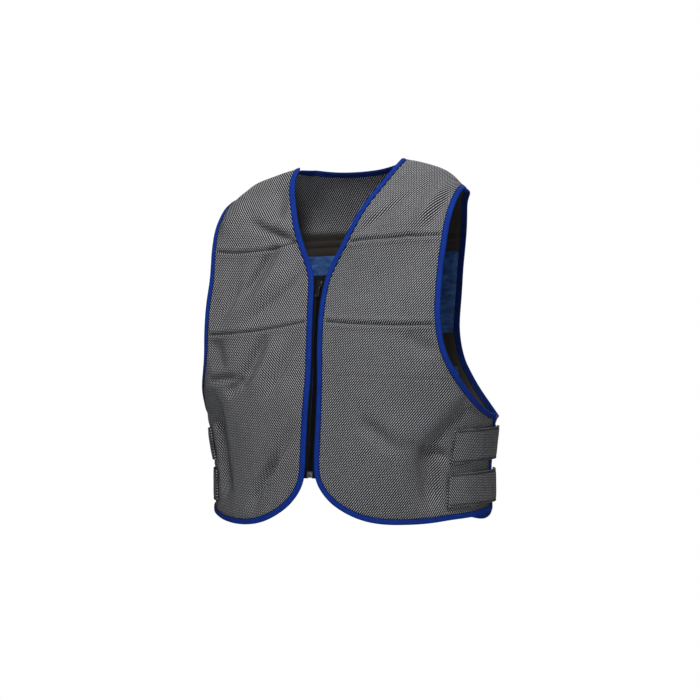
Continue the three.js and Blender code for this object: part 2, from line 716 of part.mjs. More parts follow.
// Back: the left half of its edges is worked out and mirrored. Angles run from the wearer's left
// side through the centre back, at 180, to the right side.
function backPanel() {
  const low = SHOULDER_TIP - BACK_ARMHOLE_DEPTH;
  const hem = (angle) => -BODY_LENGTH * read(BACK_HEM, 'angle', angle, 'down');
  const armhole = (height) => {
    const out = read(BACK_ARMHOLE, 'down', (SHOULDER_TIP - height) / BACK_ARMHOLE_DEPTH, 'out');
    return { angle: angleOut(out, height, true), height };
  };
  const seams = SEAMS.map((seam) => -seam.left.arm * BODY_LENGTH);
  const arms = [SHOULDER_TIP, ...seams];
  const arm = [{ angle: SIDE, height: SHOULDER_TIP }];
  [ROWS.yoke, ROWS.chest, ROWS.waist].forEach((steps, k) => {
    arm.push(...walk((t) => armhole(mix(arms[k], arms[k + 1], t)), steps).slice(1));
  });
  const underarm = (t) => {
    if (t < BACK_CURVE_SHARE) return armhole(mix(arms[3], low, t / BACK_CURVE_SHARE));
    const share = (t - BACK_CURVE_SHARE) / (1 - BACK_CURVE_SHARE);
    return { angle: mix(SIDE, BACK_SIDE_ANGLE, share), height: low - BACK_FLAP_DROP * share };
  };
  arm.push(...walk(underarm, ROWS.underarm).slice(1));
  const sideEdge = (t) => ({
    angle: BACK_SIDE_ANGLE,
    height: mix(low - BACK_FLAP_DROP, hem(BACK_SIDE_ANGLE), t),
  });
  arm.push(...walk(sideEdge, ROWS.side).slice(1));
  const columns = 2 * BACK_COLUMNS.shoulder + BACK_COLUMNS.neck;
  const hemEdge = (t) => {
    const angle = mix(BACK_SIDE_ANGLE, 360 - BACK_SIDE_ANGLE, t);
    return { angle, height: hem(turnFromFront(angle)) };
  };
  const bottom = walk(hemEdge, columns);
  const across = (node) => ({ angle: 360 - node.angle, height: node.height });
  const outer = [...arm, ...bottom.slice(1), ...arm.slice(0, -1).map(across).reverse()];
  const neckPath = (t) => {
    const x = NECK_HALF_WIDTH * Math.cos(Math.PI * t);
    const height = NECK_TOP - BACK_NECK_DROP * (1 - Math.abs(x / NECK_HALF_WIDTH) ** BACK_NECK_POWER);
    return { angle: angleAt(x, height, true), height };
  };
  const neck = walk(neckPath, BACK_COLUMNS.neck).reverse();
  neck[0] = { angle: 360 - SIDE, height: NECK_TOP };
  neck[BACK_COLUMNS.neck] = { angle: SIDE, height: NECK_TOP };
  const cuts = [inset(outer, INWARD.cut), inset(neck, INWARD.cut)];
  const rims = [inset(outer, INWARD.rim), inset(neck, INWARD.rim)];
  const rows = arm.length;
  const left = rims[0].slice(0, rows);
  const base = rims[0].slice(rows - 1, rows + columns);
  const right = rims[0].slice(rows + columns - 1).reverse();
  const neckRim = [...rims[1]].reverse();
  const shoulder = (a, b) => walk((t) => ({ angle: a.angle, height: mix(a.height, b.height, t) }), BACK_COLUMNS.shoulder);
  const top = [
    ...shoulder(left[0], neckRim[0]),
    ...neckRim.slice(1, -1),
    ...shoulder(neckRim[BACK_COLUMNS.neck], right[0]),
  ];
  const pins = [0, ROWS.yoke, ROWS.yoke + ROWS.chest, ROWS.yoke + ROWS.chest + ROWS.waist, rows - 1];
  const lines = [top, ...[1, 2, 3].map((k) => line(left[pins[k]], right[pins[k]], columns)), base];
  const grid = fieldsBetween(lines, pins, left, right, true);
  const whole = grid.map((row) => row.map((node) => standBack(node)));
  const strips = [
    { rim: rimIndex(rows, columns + 1), cut: cuts[0].map((node) => standBack(node)) },
    {
      rim: neckRim.map((node, i) => [0, BACK_COLUMNS.shoulder + i]).reverse(),
      cut: cuts[1].map((node) => standBack(node)),
    },
  ];
  const sheet = panelSheet(whole, pins.slice(1, -1), strips, true);
  place('back_panel', sheet.wall(), spacerMesh);
  const last = strips[0].cut.length - 1;
  place('back_armhole_binding_left', bindingWall(strips[0], 0, rows - 1), blueTape);
  place('back_hem_binding', bindingWall(strips[0], rows - 1, last - rows + 1), blueTape);
  place('back_armhole_binding_right', bindingWall(strips[0], last - rows + 1, last), blueTape);
  place('back_neck_binding', bindingWall(strips[1], 0, BACK_COLUMNS.neck), blueTape);
}

function standBack(node) {
  if (node.angle <= 180) return onHand(node, 1, true);
  const other = onHand({ angle: 360 - node.angle, height: node.height }, 1, true);
  return { angle: 360 - other.angle, height: node.height };
}

// Sheet over a plain grid of nodes, with its own half wall and outward shift at each
function plainSheet({ rows, columns }, nodeOf, halfOf, outOf) {
  const sheet = new Sheet();
  for (let r = 0; r <= rows; r += 1) {
    for (let c = 0; c <= columns; c += 1) {
      const [u, v] = [c / columns, r / rows];
      sheet.add(nodeOf(u, v), halfOf(u, v), outOf(u, v));
    }
  }
  for (let r = 0; r < rows; r += 1) {
    for (let c = 0; c < columns; c += 1) {
      const a = r * (columns + 1) + c;
      sheet.faces.push([a, a + columns + 1, a + columns + 2, a + 1]);
    }
  }
  return sheet;
}

// Pad: a pillow that lies against the inside of the back, fullest in its middle
function coolingPad({ name, down, play }) {
  const high = -down * BODY_LENGTH;
  const bulge = (share) => 4 * share * (1 - share);
  const half = (u, v) => PAD_RIM + (PAD_CROWN - PAD_RIM) * (bulge(u) * bulge(v)) ** PAD_FULLNESS;
  const nodeOf = (u, v) => {
    const x = mix(PAD_HALF_WIDTH, -PAD_HALF_WIDTH, u);
    const height = high - v * PAD_HEIGHT;
    return { angle: angleAt(x, height, true), height };
  };
  const outOf = (u, v) => -MESH_WALL / 2 - play - half(u, v);
  place(`cooling_pad_${name}`, plainSheet(PAD_FIELDS, nodeOf, half, outOf).wall(), padCloth);
}

// Strap: lies over the front and its binding, crosses the side and lies on the back
function sideStrap({ name, down }, hand) {
  const mirror = hand === 'left' ? 1 : -1;
  const ends = [STRAP_FRONT_ANGLE, STRAP_BACK_ANGLE];
  const out = PRESSED_WALL / 2 + TAPE_PLAY + TAPE_WALL + STRAP_PLAY + STRAP_WALL / 2;
  const nodeOf = (u, v) => ({
    angle: mirror > 0 ? mix(ends[0], ends[1], u) : -mix(ends[1], ends[0], u),
    height: -down * BODY_LENGTH - v * STRAP_HEIGHT,
  });
  const sheet = plainSheet(STRAP_FIELDS, nodeOf, () => STRAP_WALL / 2, () => out);
  place(`side_strap_${name}_${hand}`, sheet.wall(), spacerMesh);
}

// Zip: two tapes and the closed chain between them, behind the front edges
const ZIP_OUT = -(PRESSED_WALL / 2 + TAPE_PLAY + TAPE_WALL + ZIP_PLAY + ZIP_TAPE_WALL / 2);
const ZIP_FIELDS = { rows: 15, columns: 1 };
const zipHeight = (share) => -BODY_LENGTH * mix(ZIP_TOP, ZIP_BOTTOM, share);
const zipNode = (x, height) => ({ angle: angleAt(x, height, false), height });
const sliderHeight = zipHeight(0) - SLIDER_LENGTH / 2 - SLIDER_DROP;
const boxHeight = zipHeight(1) + BOX_HEIGHT / 2 + BOX_LIFT;

function zipTapes() {
  const inner = CHAIN_HALF_WIDTH + ZIP_PLAY;
  const reach = { left: [inner, TAPE_REACH], right: [-TAPE_REACH, -inner] };
  for (const hand of ['left', 'right']) {
    const nodeOf = (u, v) => zipNode(mix(reach[hand][0], reach[hand][1], u), zipHeight(v));
    const sheet = plainSheet(ZIP_FIELDS, nodeOf, () => ZIP_TAPE_WALL / 2, () => ZIP_OUT);
    place(`zip_tape_${hand}`, sheet.wall(), blackTape);
  }
}

function zipChain() {
  const top = sliderHeight - CHAIN_ENTRY;
  const low = boxHeight + BOX_HEIGHT / 2 + ZIP_PLAY;
  const nodeOf = (u, v) => zipNode(mix(-CHAIN_HALF_WIDTH, CHAIN_HALF_WIDTH, u), mix(top, low, v));
  const sheet = plainSheet(ZIP_FIELDS, nodeOf, () => CHAIN_WALL / 2, () => ZIP_OUT);
  place('zip_chain', sheet.wall(), blackTape);
}

// Group at a place on the zip, with +Z up along it and -Y out of it
function zipGroup(height) {
  const group = new THREE.Group();
  group.position.copy(worn(0, height, ZIP_OUT));
  const reach = SLIDER_LENGTH / 3;
  const up = worn(0, height + reach, ZIP_OUT).sub(worn(0, height - reach, ZIP_OUT));
  group.rotation.x = -Math.atan2(up.y, up.z);
  vest.add(group);
  return group;
}

// Extrusion of a shape in the XZ plane, between two distances out of the zip
function slab(shape, from, to) {
  const geometry = new THREE.ExtrudeGeometry(shape, { depth: to - from, bevelEnabled: false, curveSegments: 5 });
  geometry.rotateX(Math.PI / 2);
  geometry.translate(0, -from, 0);
  return geometry;
}

function polygon(points) {
  return new THREE.Shape(points.map(([x, y]) => new THREE.Vector2(x, y)));
}

// Outline in the plane across the zip, extruded along it
function bar(shape, from, to) {
  const geometry = new THREE.ExtrudeGeometry(shape, { depth: to - from, bevelEnabled: false });
  geometry.translate(0, 0, from);
  return geometry;
}

// H-shaped outline: two plates with a web between them
function plates(halfWidth, gap, webHalf) {
  const far = gap + PLATE_WALL;
  const quarter = [[webHalf, gap], [halfWidth, gap], [halfWidth, far]];
  const flip = (points, x, y) => points.map(([a, b]) => [a * x, b * y]);
  return polygon([
    ...flip(quarter, 1, 1), ...flip([...quarter].reverse(), -1, 1),
    ...flip(quarter, -1, -1), ...flip([...quarter].reverse(), 1, -1),
  ]);
}

const CHAIN_ROOM = CHAIN_WALL / 2 + ZIP_PLAY;
const PULL_OUT = CHAIN_ROOM + PLATE_WALL + ZIP_PLAY + PULL_WALL / Math.SQRT2;
const BRIDGE_IN = PULL_OUT + PULL_WALL / Math.SQRT2 + ZIP_PLAY;
const BRIDGE_WALL = 1.1;
const BRIDGE_HALF = 0.8;
const BRIDGE_REACH = 4.2;
const JOIN_SINK = 0.25;
const PLATE_NOSE = 0.6;
const PLATE_SHOULDER = 0.7;
const POST_FROM = 0.35;
const POST_INSET = 0.4;
const PULL_CORNER = { across: 1.2, up: 2 };
const WINDOW_PLAY = { across: 0.6, along: 1 };

// Closed solid of a geometry, for joining
function asManifold(wasm, geometry) {
  const bare = geometry.clone();
  bare.deleteAttribute('normal');
  bare.deleteAttribute('uv');
  const merged = mergeVertices(bare, 1e-4);
  return new wasm.Manifold(new wasm.Mesh({
    numProp: 3,
    vertProperties: new Float32Array(merged.attributes.position.array),
    triVerts: new Uint32Array(merged.index.array),
  }));
}

function joined(wasm, geometries) {
  const [first, ...others] = geometries.map((geometry) => asManifold(wasm, geometry));
  const mesh = others.reduce((sum, next) => sum.add(next), first).getMesh();
  return solid([...mesh.vertProperties], [...mesh.triVerts]);
}

// Slider: front and back plates joined by a post above the chain, with a bridge for the pull
function zipSlider(group, wasm) {
  const half = SLIDER_LENGTH / 2;
  const far = CHAIN_ROOM + PLATE_WALL;
  const w = SLIDER_HALF_WIDTH;
  const [nose, shoulder] = [w * PLATE_NOSE, half * PLATE_SHOULDER];
  const plate = polygon([[-nose, -half], [nose, -half], [w, 0], [w, shoulder], [nose, half],
    [-nose, half], [-w, shoulder], [-w, 0]]);
  const [postLow, postTop] = [half * POST_FROM, half - POST_INSET];
  const post = polygon([[-POST_HALF_WIDTH, postLow], [POST_HALF_WIDTH, postLow],
    [POST_HALF_WIDTH, postTop], [-POST_HALF_WIDTH, postTop]]);
  const foot = far - JOIN_SINK;
  const bridge = polygon([
    [-BRIDGE_REACH - BRIDGE_WALL, foot], [-BRIDGE_REACH, foot], [-BRIDGE_REACH, BRIDGE_IN],
    [BRIDGE_REACH, BRIDGE_IN], [BRIDGE_REACH, foot], [BRIDGE_REACH + BRIDGE_WALL, foot],
    [BRIDGE_REACH + BRIDGE_WALL, BRIDGE_IN], [BRIDGE_REACH, BRIDGE_IN + BRIDGE_WALL],
    [-BRIDGE_REACH, BRIDGE_IN + BRIDGE_WALL], [-BRIDGE_REACH - BRIDGE_WALL, BRIDGE_IN],
  ]);
  const arch = new THREE.ExtrudeGeometry(bridge, { depth: 2 * BRIDGE_HALF, bevelEnabled: false });
  arch.translate(0, 0, -BRIDGE_HALF);
  arch.applyMatrix4(new THREE.Matrix4().makeBasis(
    new THREE.Vector3(0, 0, 1), new THREE.Vector3(0, -1, 0), new THREE.Vector3(1, 0, 0)));
  const body = joined(wasm, [slab(plate, CHAIN_ROOM, far), slab(plate, -far, -CHAIN_ROOM),
    slab(post, -foot, foot), arch]);
  place('zip_slider', body, blackMetal, group);
}

// Pull: a tab with a window, whose end bar lies under the slider's bridge
function zipPull(group) {
  const w = PULL_HALF_WIDTH;
  const wall = PULL_WALL / 2;
  const window = BRIDGE_HALF + WINDOW_PLAY.across;
  const [side, end] = [-PULL_LENGTH + PULL_CORNER.up, w - PULL_CORNER.across];
  const tab = polygon([[-w, wall], [-w, side], [-end, -PULL_LENGTH], [end, -PULL_LENGTH], [w, side], [w, wall]]);
  const reach = BRIDGE_REACH + BRIDGE_WALL + WINDOW_PLAY.along;
  tab.holes.push(new THREE.Path([[-window, -wall], [window, -wall], [window, -reach], [-window, -reach]]
    .map(([x, y]) => new THREE.Vector2(x, y))));
  place('zip_pull', slab(tab, PULL_OUT - wall, PULL_OUT + wall), blackMetal, group);
}

vest.name = 'cooling_vest';
for (const hand of ['left', 'right']) {
  frontPanel(hand);
  for (const strap of STRAP_TOPS) sideStrap(strap, hand);
}
backPanel();
PADS.forEach(coolingPad);
zipTapes();
zipChain();
const wasm = await Module();
wasm.setup();
const sliderGroup = zipGroup(sliderHeight);
zipSlider(sliderGroup, wasm);
zipPull(sliderGroup);
const boxGroup = zipGroup(boxHeight);
const boxShape = plates(CHAIN_HALF_WIDTH + BOX_OVERHANG, ZIP_TAPE_WALL / 2 + ZIP_PLAY, CHAIN_HALF_WIDTH);
place('zip_bottom_box', bar(boxShape, -BOX_HEIGHT / 2, BOX_HEIGHT / 2), greyMetal, boxGroup);

export default vest;
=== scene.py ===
"""Cooling vest: mesh fronts and back with bound edges, side straps, pads inside the back and a zip.

Laid out as an add-on: the panel in the 3D view's sidebar makes the vest piece by piece. Metres, +Z up,
+X is the wearer's left and -Y the front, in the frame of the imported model.
"""

import math
from collections import namedtuple

import bmesh
import bpy
import numpy as np
from mathutils import Matrix, Vector, kdtree, noise
from mathutils.bvhtree import BVHTree


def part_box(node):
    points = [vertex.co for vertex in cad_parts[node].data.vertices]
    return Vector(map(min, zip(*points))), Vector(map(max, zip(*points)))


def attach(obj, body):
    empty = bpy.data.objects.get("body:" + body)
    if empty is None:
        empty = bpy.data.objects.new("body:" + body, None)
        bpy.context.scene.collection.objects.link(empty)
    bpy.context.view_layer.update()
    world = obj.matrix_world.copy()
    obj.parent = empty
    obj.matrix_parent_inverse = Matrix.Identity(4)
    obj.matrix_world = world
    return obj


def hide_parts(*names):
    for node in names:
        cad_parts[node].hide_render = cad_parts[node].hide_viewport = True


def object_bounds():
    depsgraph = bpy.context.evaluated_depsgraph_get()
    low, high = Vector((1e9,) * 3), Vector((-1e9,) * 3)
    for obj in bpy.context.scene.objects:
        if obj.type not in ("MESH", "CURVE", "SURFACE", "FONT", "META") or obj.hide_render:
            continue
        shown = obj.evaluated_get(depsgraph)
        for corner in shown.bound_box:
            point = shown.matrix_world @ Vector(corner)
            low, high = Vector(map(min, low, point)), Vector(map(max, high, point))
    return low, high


bl_info = {
    "name": "Cooling Vest",
    "version": (1, 0, 0),
    "blender": (4, 5, 0),
    "location": "View3D > Sidebar > Vest",
    "description": "Makes a quilted mesh cooling vest round its packed frame",
    "category": "Object",
}

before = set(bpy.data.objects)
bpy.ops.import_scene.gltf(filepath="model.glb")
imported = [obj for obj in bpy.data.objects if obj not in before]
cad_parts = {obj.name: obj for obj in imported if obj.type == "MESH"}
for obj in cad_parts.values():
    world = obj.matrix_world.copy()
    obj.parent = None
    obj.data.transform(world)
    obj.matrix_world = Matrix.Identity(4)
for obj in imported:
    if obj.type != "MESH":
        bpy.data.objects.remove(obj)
CAD_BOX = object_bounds()
BODY = "vest"
MM = 0.001
PANELS = ("front_panel_left", "front_panel_right", "back_panel")
BINDINGS = (
    *(f"{edge}_binding_{hand}" for edge in ("front_edge", "front_armhole", "back_armhole")
      for hand in ("left", "right")),
    "back_hem_binding",
    "back_neck_binding",
)
STRAPS = tuple(f"side_strap_{level}_{hand}" for hand in ("left", "right") for level in ("upper", "lower"))
PADS = ("cooling_pad_upper", "cooling_pad_lower")

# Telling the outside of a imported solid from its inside, and finding the corners of its open edge
CORE = Vector((0.0, -0.02, -0.28))
PRESSED_WALL = 2.5 * MM
SHARP = math.radians(50)
CORNER_TURN = 0.6
CORNER_COSINE = 0.8
TAPE_NEAR = 12 * MM
EDGE_PROBE = 8 * MM

# Quilting. A pair is where a change starts and where it ends, and the swell is in widths of the seam.
SEAM_CORE = 0.97
SEAM_FAINT_BELOW = -0.285
FAINT = 0.15
# Width of the painted shade along a seam
SEAM_SHADE_WIDTH = 1.3 * MM
SWELL_SHARE = 0.6
SWELL_AWAY = 3.6
SWELL_WIDTH = 2.4
PUCKER_LENGTH = 9 * MM
PUCKER_REACH = 11 * MM
PUCKER_START = 1.2
PUCKER_STRETCH = (1.0, 1.0, 0.15)
LONG_RIPPLE = 70 * MM
SHORT_RIPPLE = 28 * MM
SHORT_SHARE = 0.45
CALM_AT_EDGE = (5 * MM, 15 * MM)
CALM_AT_SIDE = (20 * MM, 60 * MM)
CALM_LEAST = 0.15
THIN_AT_EDGE = (8 * MM, 14 * MM)
THIN_AT_SEAM = (0.0, 4 * MM)
SEAM_WALL = 0.55
BARE_BELOW = (-0.100, -0.090)
BARE_HALF = (0.095, 0.125)

# Folds: how much they are raised, the side of a lap that drops, and where along its line a fold ends
FOLD_GAIN = 1.8
LAP_DROP = 0.3
FOLD_START = (-0.25, 0.25)
FOLD_END = (0.7, 1.25)

# Binding tape
ROW_INSET = 1.9 * MM
OUTSIDE_POINTS = 16
END_TAPER = 0.65
TAPER_LENGTH = 3.5 * MM
FIRST_STITCH = 1.2 * MM

# A stitch: places along it as shares of its length, with its lift and girth in thicknesses of the thread
Knot = namedtuple("Knot", "share lift girth")
STITCH = (Knot(0.0, -0.6, 0.55), Knot(0.25, 0.35, 1.0), Knot(0.75, 0.35, 1.0), Knot(1.0, -0.6, 0.55))

# Side straps: how far they sink into the cloth, their stitched channel, its painted shade and the thread of
# their bars
STRAP_SINK = 1.5 * MM
STRAP_MARGIN = 14 * MM
SINK_AT_EDGE = (2 * MM, 10 * MM)
STRAP_CROWNS = (1.5 * MM, 16 * MM)
CHANNEL_DEPTH = 0.7 * MM
CHANNEL_INSET = 3.0 * MM
CHANNEL_WIDTH = 1.1 * MM
CHANNEL_SHADE_INSET = 2.6 * MM
CHANNEL_SHADE_WIDTH = 1.6 * MM
RUCK_HEIGHT = 0.55 * MM
RUCK_LENGTH = 10 * MM
RUCK_STRETCH = (1.0, 1.0, 0.12)
RUCK_START = (2 * MM, 9 * MM)
LEVEL_STEP = 0.7
LEAST_ROW = 6
ROW_PROBE = 6 * MM
BAR_STOUT = 2.8
SewingRow = namedtuple("SewingRow", "level thread inset")
SEWING = (
    SewingRow(True, "dark_thread", 3.0),
    SewingRow(False, "dark_thread", 1.4),
    SewingRow(False, "strap_thread", 3.4),
)

# Pads: their gap to the armhole tape and how far each may be drawn out to it, worked out in level rows
PAD_MARGIN = 8 * MM
PAD_MOST = {"cooling_pad_upper": 1.35, "cooling_pad_lower": 1.13}
PAD_NARROWEST = 0.7
PAD_ROWS = 60
PAD_PUCKER = 1.3 * MM
PAD_RIM_ACROSS = 0.12
PAD_RIM_DOWN = 0.16
SOFT_CRINKLE = 26 * MM
SOFT_STRETCH = (0.5, 1.0, 1.6)
CREASE = 19 * MM
CREASE_STRETCH = (0.6, 1.0, 1.5)

# Zip: the longer tops of its tapes, the lean of the strip behind the coil, and the coil's own sizes
TAPE_END = 6.5 * MM
BACKING_LEAN = 2.0 * MM
BACKING_HALF = 3.1 * MM
BACKING_BEHIND = 0.9 * MM
BACKING_WALL = 0.4 * MM
COIL_RADIUS = 0.5 * MM
COIL_WIDTH = 3.2 * MM
COIL_DEEPER = 2.1
COIL_BEVEL = 0.2 * MM
COIL_SIDE = 0.95 * MM
LOOK_AHEAD = 2 * MM

# Small folds of the fronts: ends as x and z in metres, width and rise in millimetres. A round fold swells
# out where its rise is above nought and sinks where it is below. A lap rises slowly on the right of its
# line, looking from start to end, and drops at once on the line.
Fold = namedtuple("Fold", "kind start end width rise")
FOLDS = (
    Fold("round", (-0.104, -0.030), (-0.088, -0.086), 15.0, -6.0),
    Fold("round", (-0.150, -0.060), (-0.185, -0.095), 14.0, 4.0),
    Fold("round", (-0.058, -0.114), (-0.125, -0.088), 7.0, -5.0),
    Fold("round", (-0.070, -0.092), (-0.130, -0.068), 10.0, 3.0),
    Fold("round", (-0.086, -0.122), (-0.130, -0.196), 7.0, -5.0),
    Fold("round", (-0.066, -0.130), (-0.110, -0.205), 9.0, 4.0),
    Fold("round", (-0.043, -0.171), (-0.115, -0.234), 6.0, -4.0),
    Fold("round", (-0.060, -0.155), (-0.128, -0.222), 8.0, 2.6),
    Fold("round", (-0.142, -0.178), (-0.170, -0.238), 7.0, -4.0),
    Fold("round", (-0.089, -0.264), (-0.120, -0.326), 9.0, -6.0),
    Fold("round", (-0.120, -0.326), (-0.150, -0.344), 9.0, -4.5),
    Fold("round", (-0.068, -0.275), (-0.104, -0.345), 12.0, 4.0),
    Fold("round", (-0.036, -0.262), (-0.073, -0.345), 7.0, -3.4),
    Fold("round", (-0.184, -0.325), (-0.136, -0.320), 6.0, -4.0),
    Fold("round", (-0.176, -0.268), (-0.160, -0.312), 14.0, -4.0),
    Fold("round", (-0.184, -0.372), (-0.164, -0.500), 16.0, -9.0),
    Fold("round", (-0.034, -0.398), (-0.083, -0.486), 8.0, -4.0),
    Fold("round", (-0.063, -0.448), (-0.103, -0.514), 9.0, -5.0),
    Fold("round", (-0.045, -0.440), (-0.086, -0.506), 8.0, 3.4),
    Fold("lap", (0.119, -0.045), (0.056, -0.095), 17.0, 3.4),
    Fold("round", (0.119, -0.045), (0.056, -0.095), 8.0, -2.6),
    Fold("round", (0.147, -0.025), (0.126, -0.082), 10.0, -2.8),
    Fold("round", (0.166, -0.035), (0.143, -0.090), 10.0, 2.8),
    Fold("round", (0.184, -0.050), (0.160, -0.100), 10.0, -2.4),
    Fold("round", (0.140, -0.260), (0.178, -0.282), 12.0, -3.0),
    Fold("round", (0.222, -0.352), (0.166, -0.421), 9.0, -5.0),
    Fold("lap", (0.222, -0.352), (0.166, -0.421), 24.0, 6.0),
    Fold("round", (0.164, -0.423), (0.196, -0.442), 7.0, -5.0),
    Fold("round", (0.166, -0.430), (0.172, -0.506), 12.0, -7.0),
    Fold("round", (0.128, -0.395), (0.132, -0.500), 13.0, 3.0),
    Fold("round", (0.079, -0.386), (0.137, -0.428), 12.0, -4.0),
)

# Where the worn cloth has settled from its pattern: centre, move and reach, in millimetres
Spot = namedtuple("Spot", "at move reach")
SETTLING = (
    Spot((-88, 0, 8), (5.0, 0.0, -1.5), (22, 60, 25)),
    Spot((-125, 0, 0), (0.0, 0.0, -3.0), (35, 80, 60)),
    Spot((-215, -90, -335), (8.0, 0.0, 0.0), (60, 110, 75)),
    Spot((-235, 0, -200), (4.5, 1.0, 0.0), (60, 120, 90)),
    Spot((-225, -60, -470), (5.0, 0.0, 0.0), (60, 110, 60)),
    Spot((143, 88, -215), (7.0, 0.0, 0.0), (45, 40, 70)),
    Spot((237, 0, -450), (-4.5, 0.0, 0.0), (50, 60, 70)),
    Spot((0, 70, -15), (0.0, 0.0, 5.5), (75, 60, 45)),
)


def length_property(name, description, millimetres, **limits):
    return bpy.props.FloatProperty(
        name=name, description=description, default=millimetres * MM, unit="LENGTH", **limits)


def colour_property(name, description, *default):
    return bpy.props.FloatVectorProperty(
        name=name, description=description, subtype="COLOR", size=3, default=default)


class VestSizes(bpy.types.PropertyGroup):
    """Sizes of the cloth's detail"""

    rib_pitch: length_property(
        "Rib pitch", "Distance between the slanting ribs of the mesh", 2.85, min=0.5 * MM)
    dash_pitch: length_property(
        "Dash pitch", "Length of a light dash and its gap along a rib", 5.3, min=0.5 * MM)
    rib_lean: bpy.props.FloatProperty(
        name="Rib lean", description="Angle of the ribs from the level, in degrees", default=51.0)
    mesh_wall: length_property("Mesh wall", "Thickness of the spacer mesh", 3.2)
    edge_wall: length_property("Edge wall", "Thickness of the mesh inside its binding", 1.2)
    seam_depth: length_property("Seam depth", "Depth of a quilting seam", 2.8)
    seam_width: length_property("Seam width", "Half width of a quilting seam", 1.7)
    pucker: length_property("Pucker", "Height of the puckers along a seam", 1.0)
    ripple: length_property("Ripple", "Height of the soft unevenness of the cloth", 1.5)
    binding_reach: length_property("Binding reach", "Width of the folded tape on the cloth", 7.3)
    binding_half: length_property("Binding half thickness", "Half thickness of the folded edge", 2.1)
    binding_wall: length_property("Tape wall", "Thickness of the binding tape", 0.8)
    fold_out: length_property("Fold reach", "How far the fold stands past the cut edge", 1.6)
    stitch_length: length_property("Stitch length", "Length of a stitch", 2.4)
    stitch_gap: length_property("Stitch gap", "Gap between stitches", 0.9)
    thread: length_property("Thread", "Thickness of the sewing thread", 0.42)
    strap_wall: length_property("Strap wall", "Thickness of a side strap", 2.2)
    strap_crown: length_property("Strap crown", "How far a strap bulges", 0.5)
    crinkle: length_property("Crinkle", "Height of the crinkles of a pad", 2.6)
    tooth_pitch: length_property("Tooth pitch", "Distance between coils of the zip", 1.3)


class VestColours(bpy.types.PropertyGroup):
    """Colours of the cloth, tape, pads and zip"""

    mesh_ground: colour_property("Mesh ground", "Dark side of the mesh", 0.006, 0.0055, 0.005)
    mesh_dash: colour_property("Mesh dash", "Light dashes of the mesh", 0.60, 0.61, 0.65)
    tape: colour_property("Tape", "Binding tape", 0.0045, 0.032, 0.26)
    pad: colour_property("Pad", "Cooling pads", 0.012, 0.076, 0.27)
    zip_black: colour_property("Zip", "Tape and coil of the zip", 0.0022, 0.0022, 0.0025)
    enamel: colour_property("Enamel", "Paint of the slider and its pull", 0.0035, 0.0035, 0.004)
    # Plain cloth of the inside, kept dark as painted shade inside the vest
    lining: colour_property("Lining", "Plain cloth of the inside", 0.034, 0.030, 0.027)
    metal: colour_property("Metal", "Bare metal", 0.36, 0.37, 0.38)
    floor: colour_property("Floor", "Floor of the stage", 0.9, 0.9, 0.9)


def sizes():
    return bpy.context.scene.vest_sizes


def tint(key, gain=1.0):
    """One of the vest's colours, made lighter or darker."""
    return tuple(Vector(getattr(bpy.context.scene.vest_colours, key)) * gain)


class Wire:
    """An output socket, or a number, that grows Math nodes as expressions are written with it."""

    def __init__(self, shader, value):
        self.shader = shader
        self.value = value

    def math(self, operation, *others):
        values = [self.value] + [o.value if isinstance(o, Wire) else o for o in others]
        return self.shader.node("ShaderNodeMath", {"operation": operation}, dict(enumerate(values)))

    def __add__(self, other):
        return self.math("ADD", other)

    def __radd__(self, other):
        return self.math("ADD", other)

    def __sub__(self, other):
        return self.math("SUBTRACT", other)

    def __rsub__(self, other):
        return Wire(self.shader, other).math("SUBTRACT", self)

    def __mul__(self, other):
        return self.math("MULTIPLY", other)

    def __rmul__(self, other):
        return self.math("MULTIPLY", other)

    def fraction(self):
        return self.math("FRACT")

    def floor(self):
        return self.math("FLOOR")

    def wave(self, pitch):
        """Waves from 0 to 1 that repeat at the pitch."""
        return (self * (2.0 * math.pi / pitch)).math("SINE") * 0.5 + 0.5

    def off_middle(self):
        """How far its fraction is from a half."""
        return (self.fraction() - 0.5).math("ABSOLUTE")

    def least(self, other):
        return self.math("MINIMUM", other)

    def most(self, other):
        return self.math("MAXIMUM", other)

    def ramp(self, low, high):
        """0 below low and 1 above high, smooth between them."""
        return self.shader.node(
            "ShaderNodeMapRange", {"interpolation_type": "SMOOTHSTEP"},
            {"Value": self.value, "From Min": low, "From Max": high})


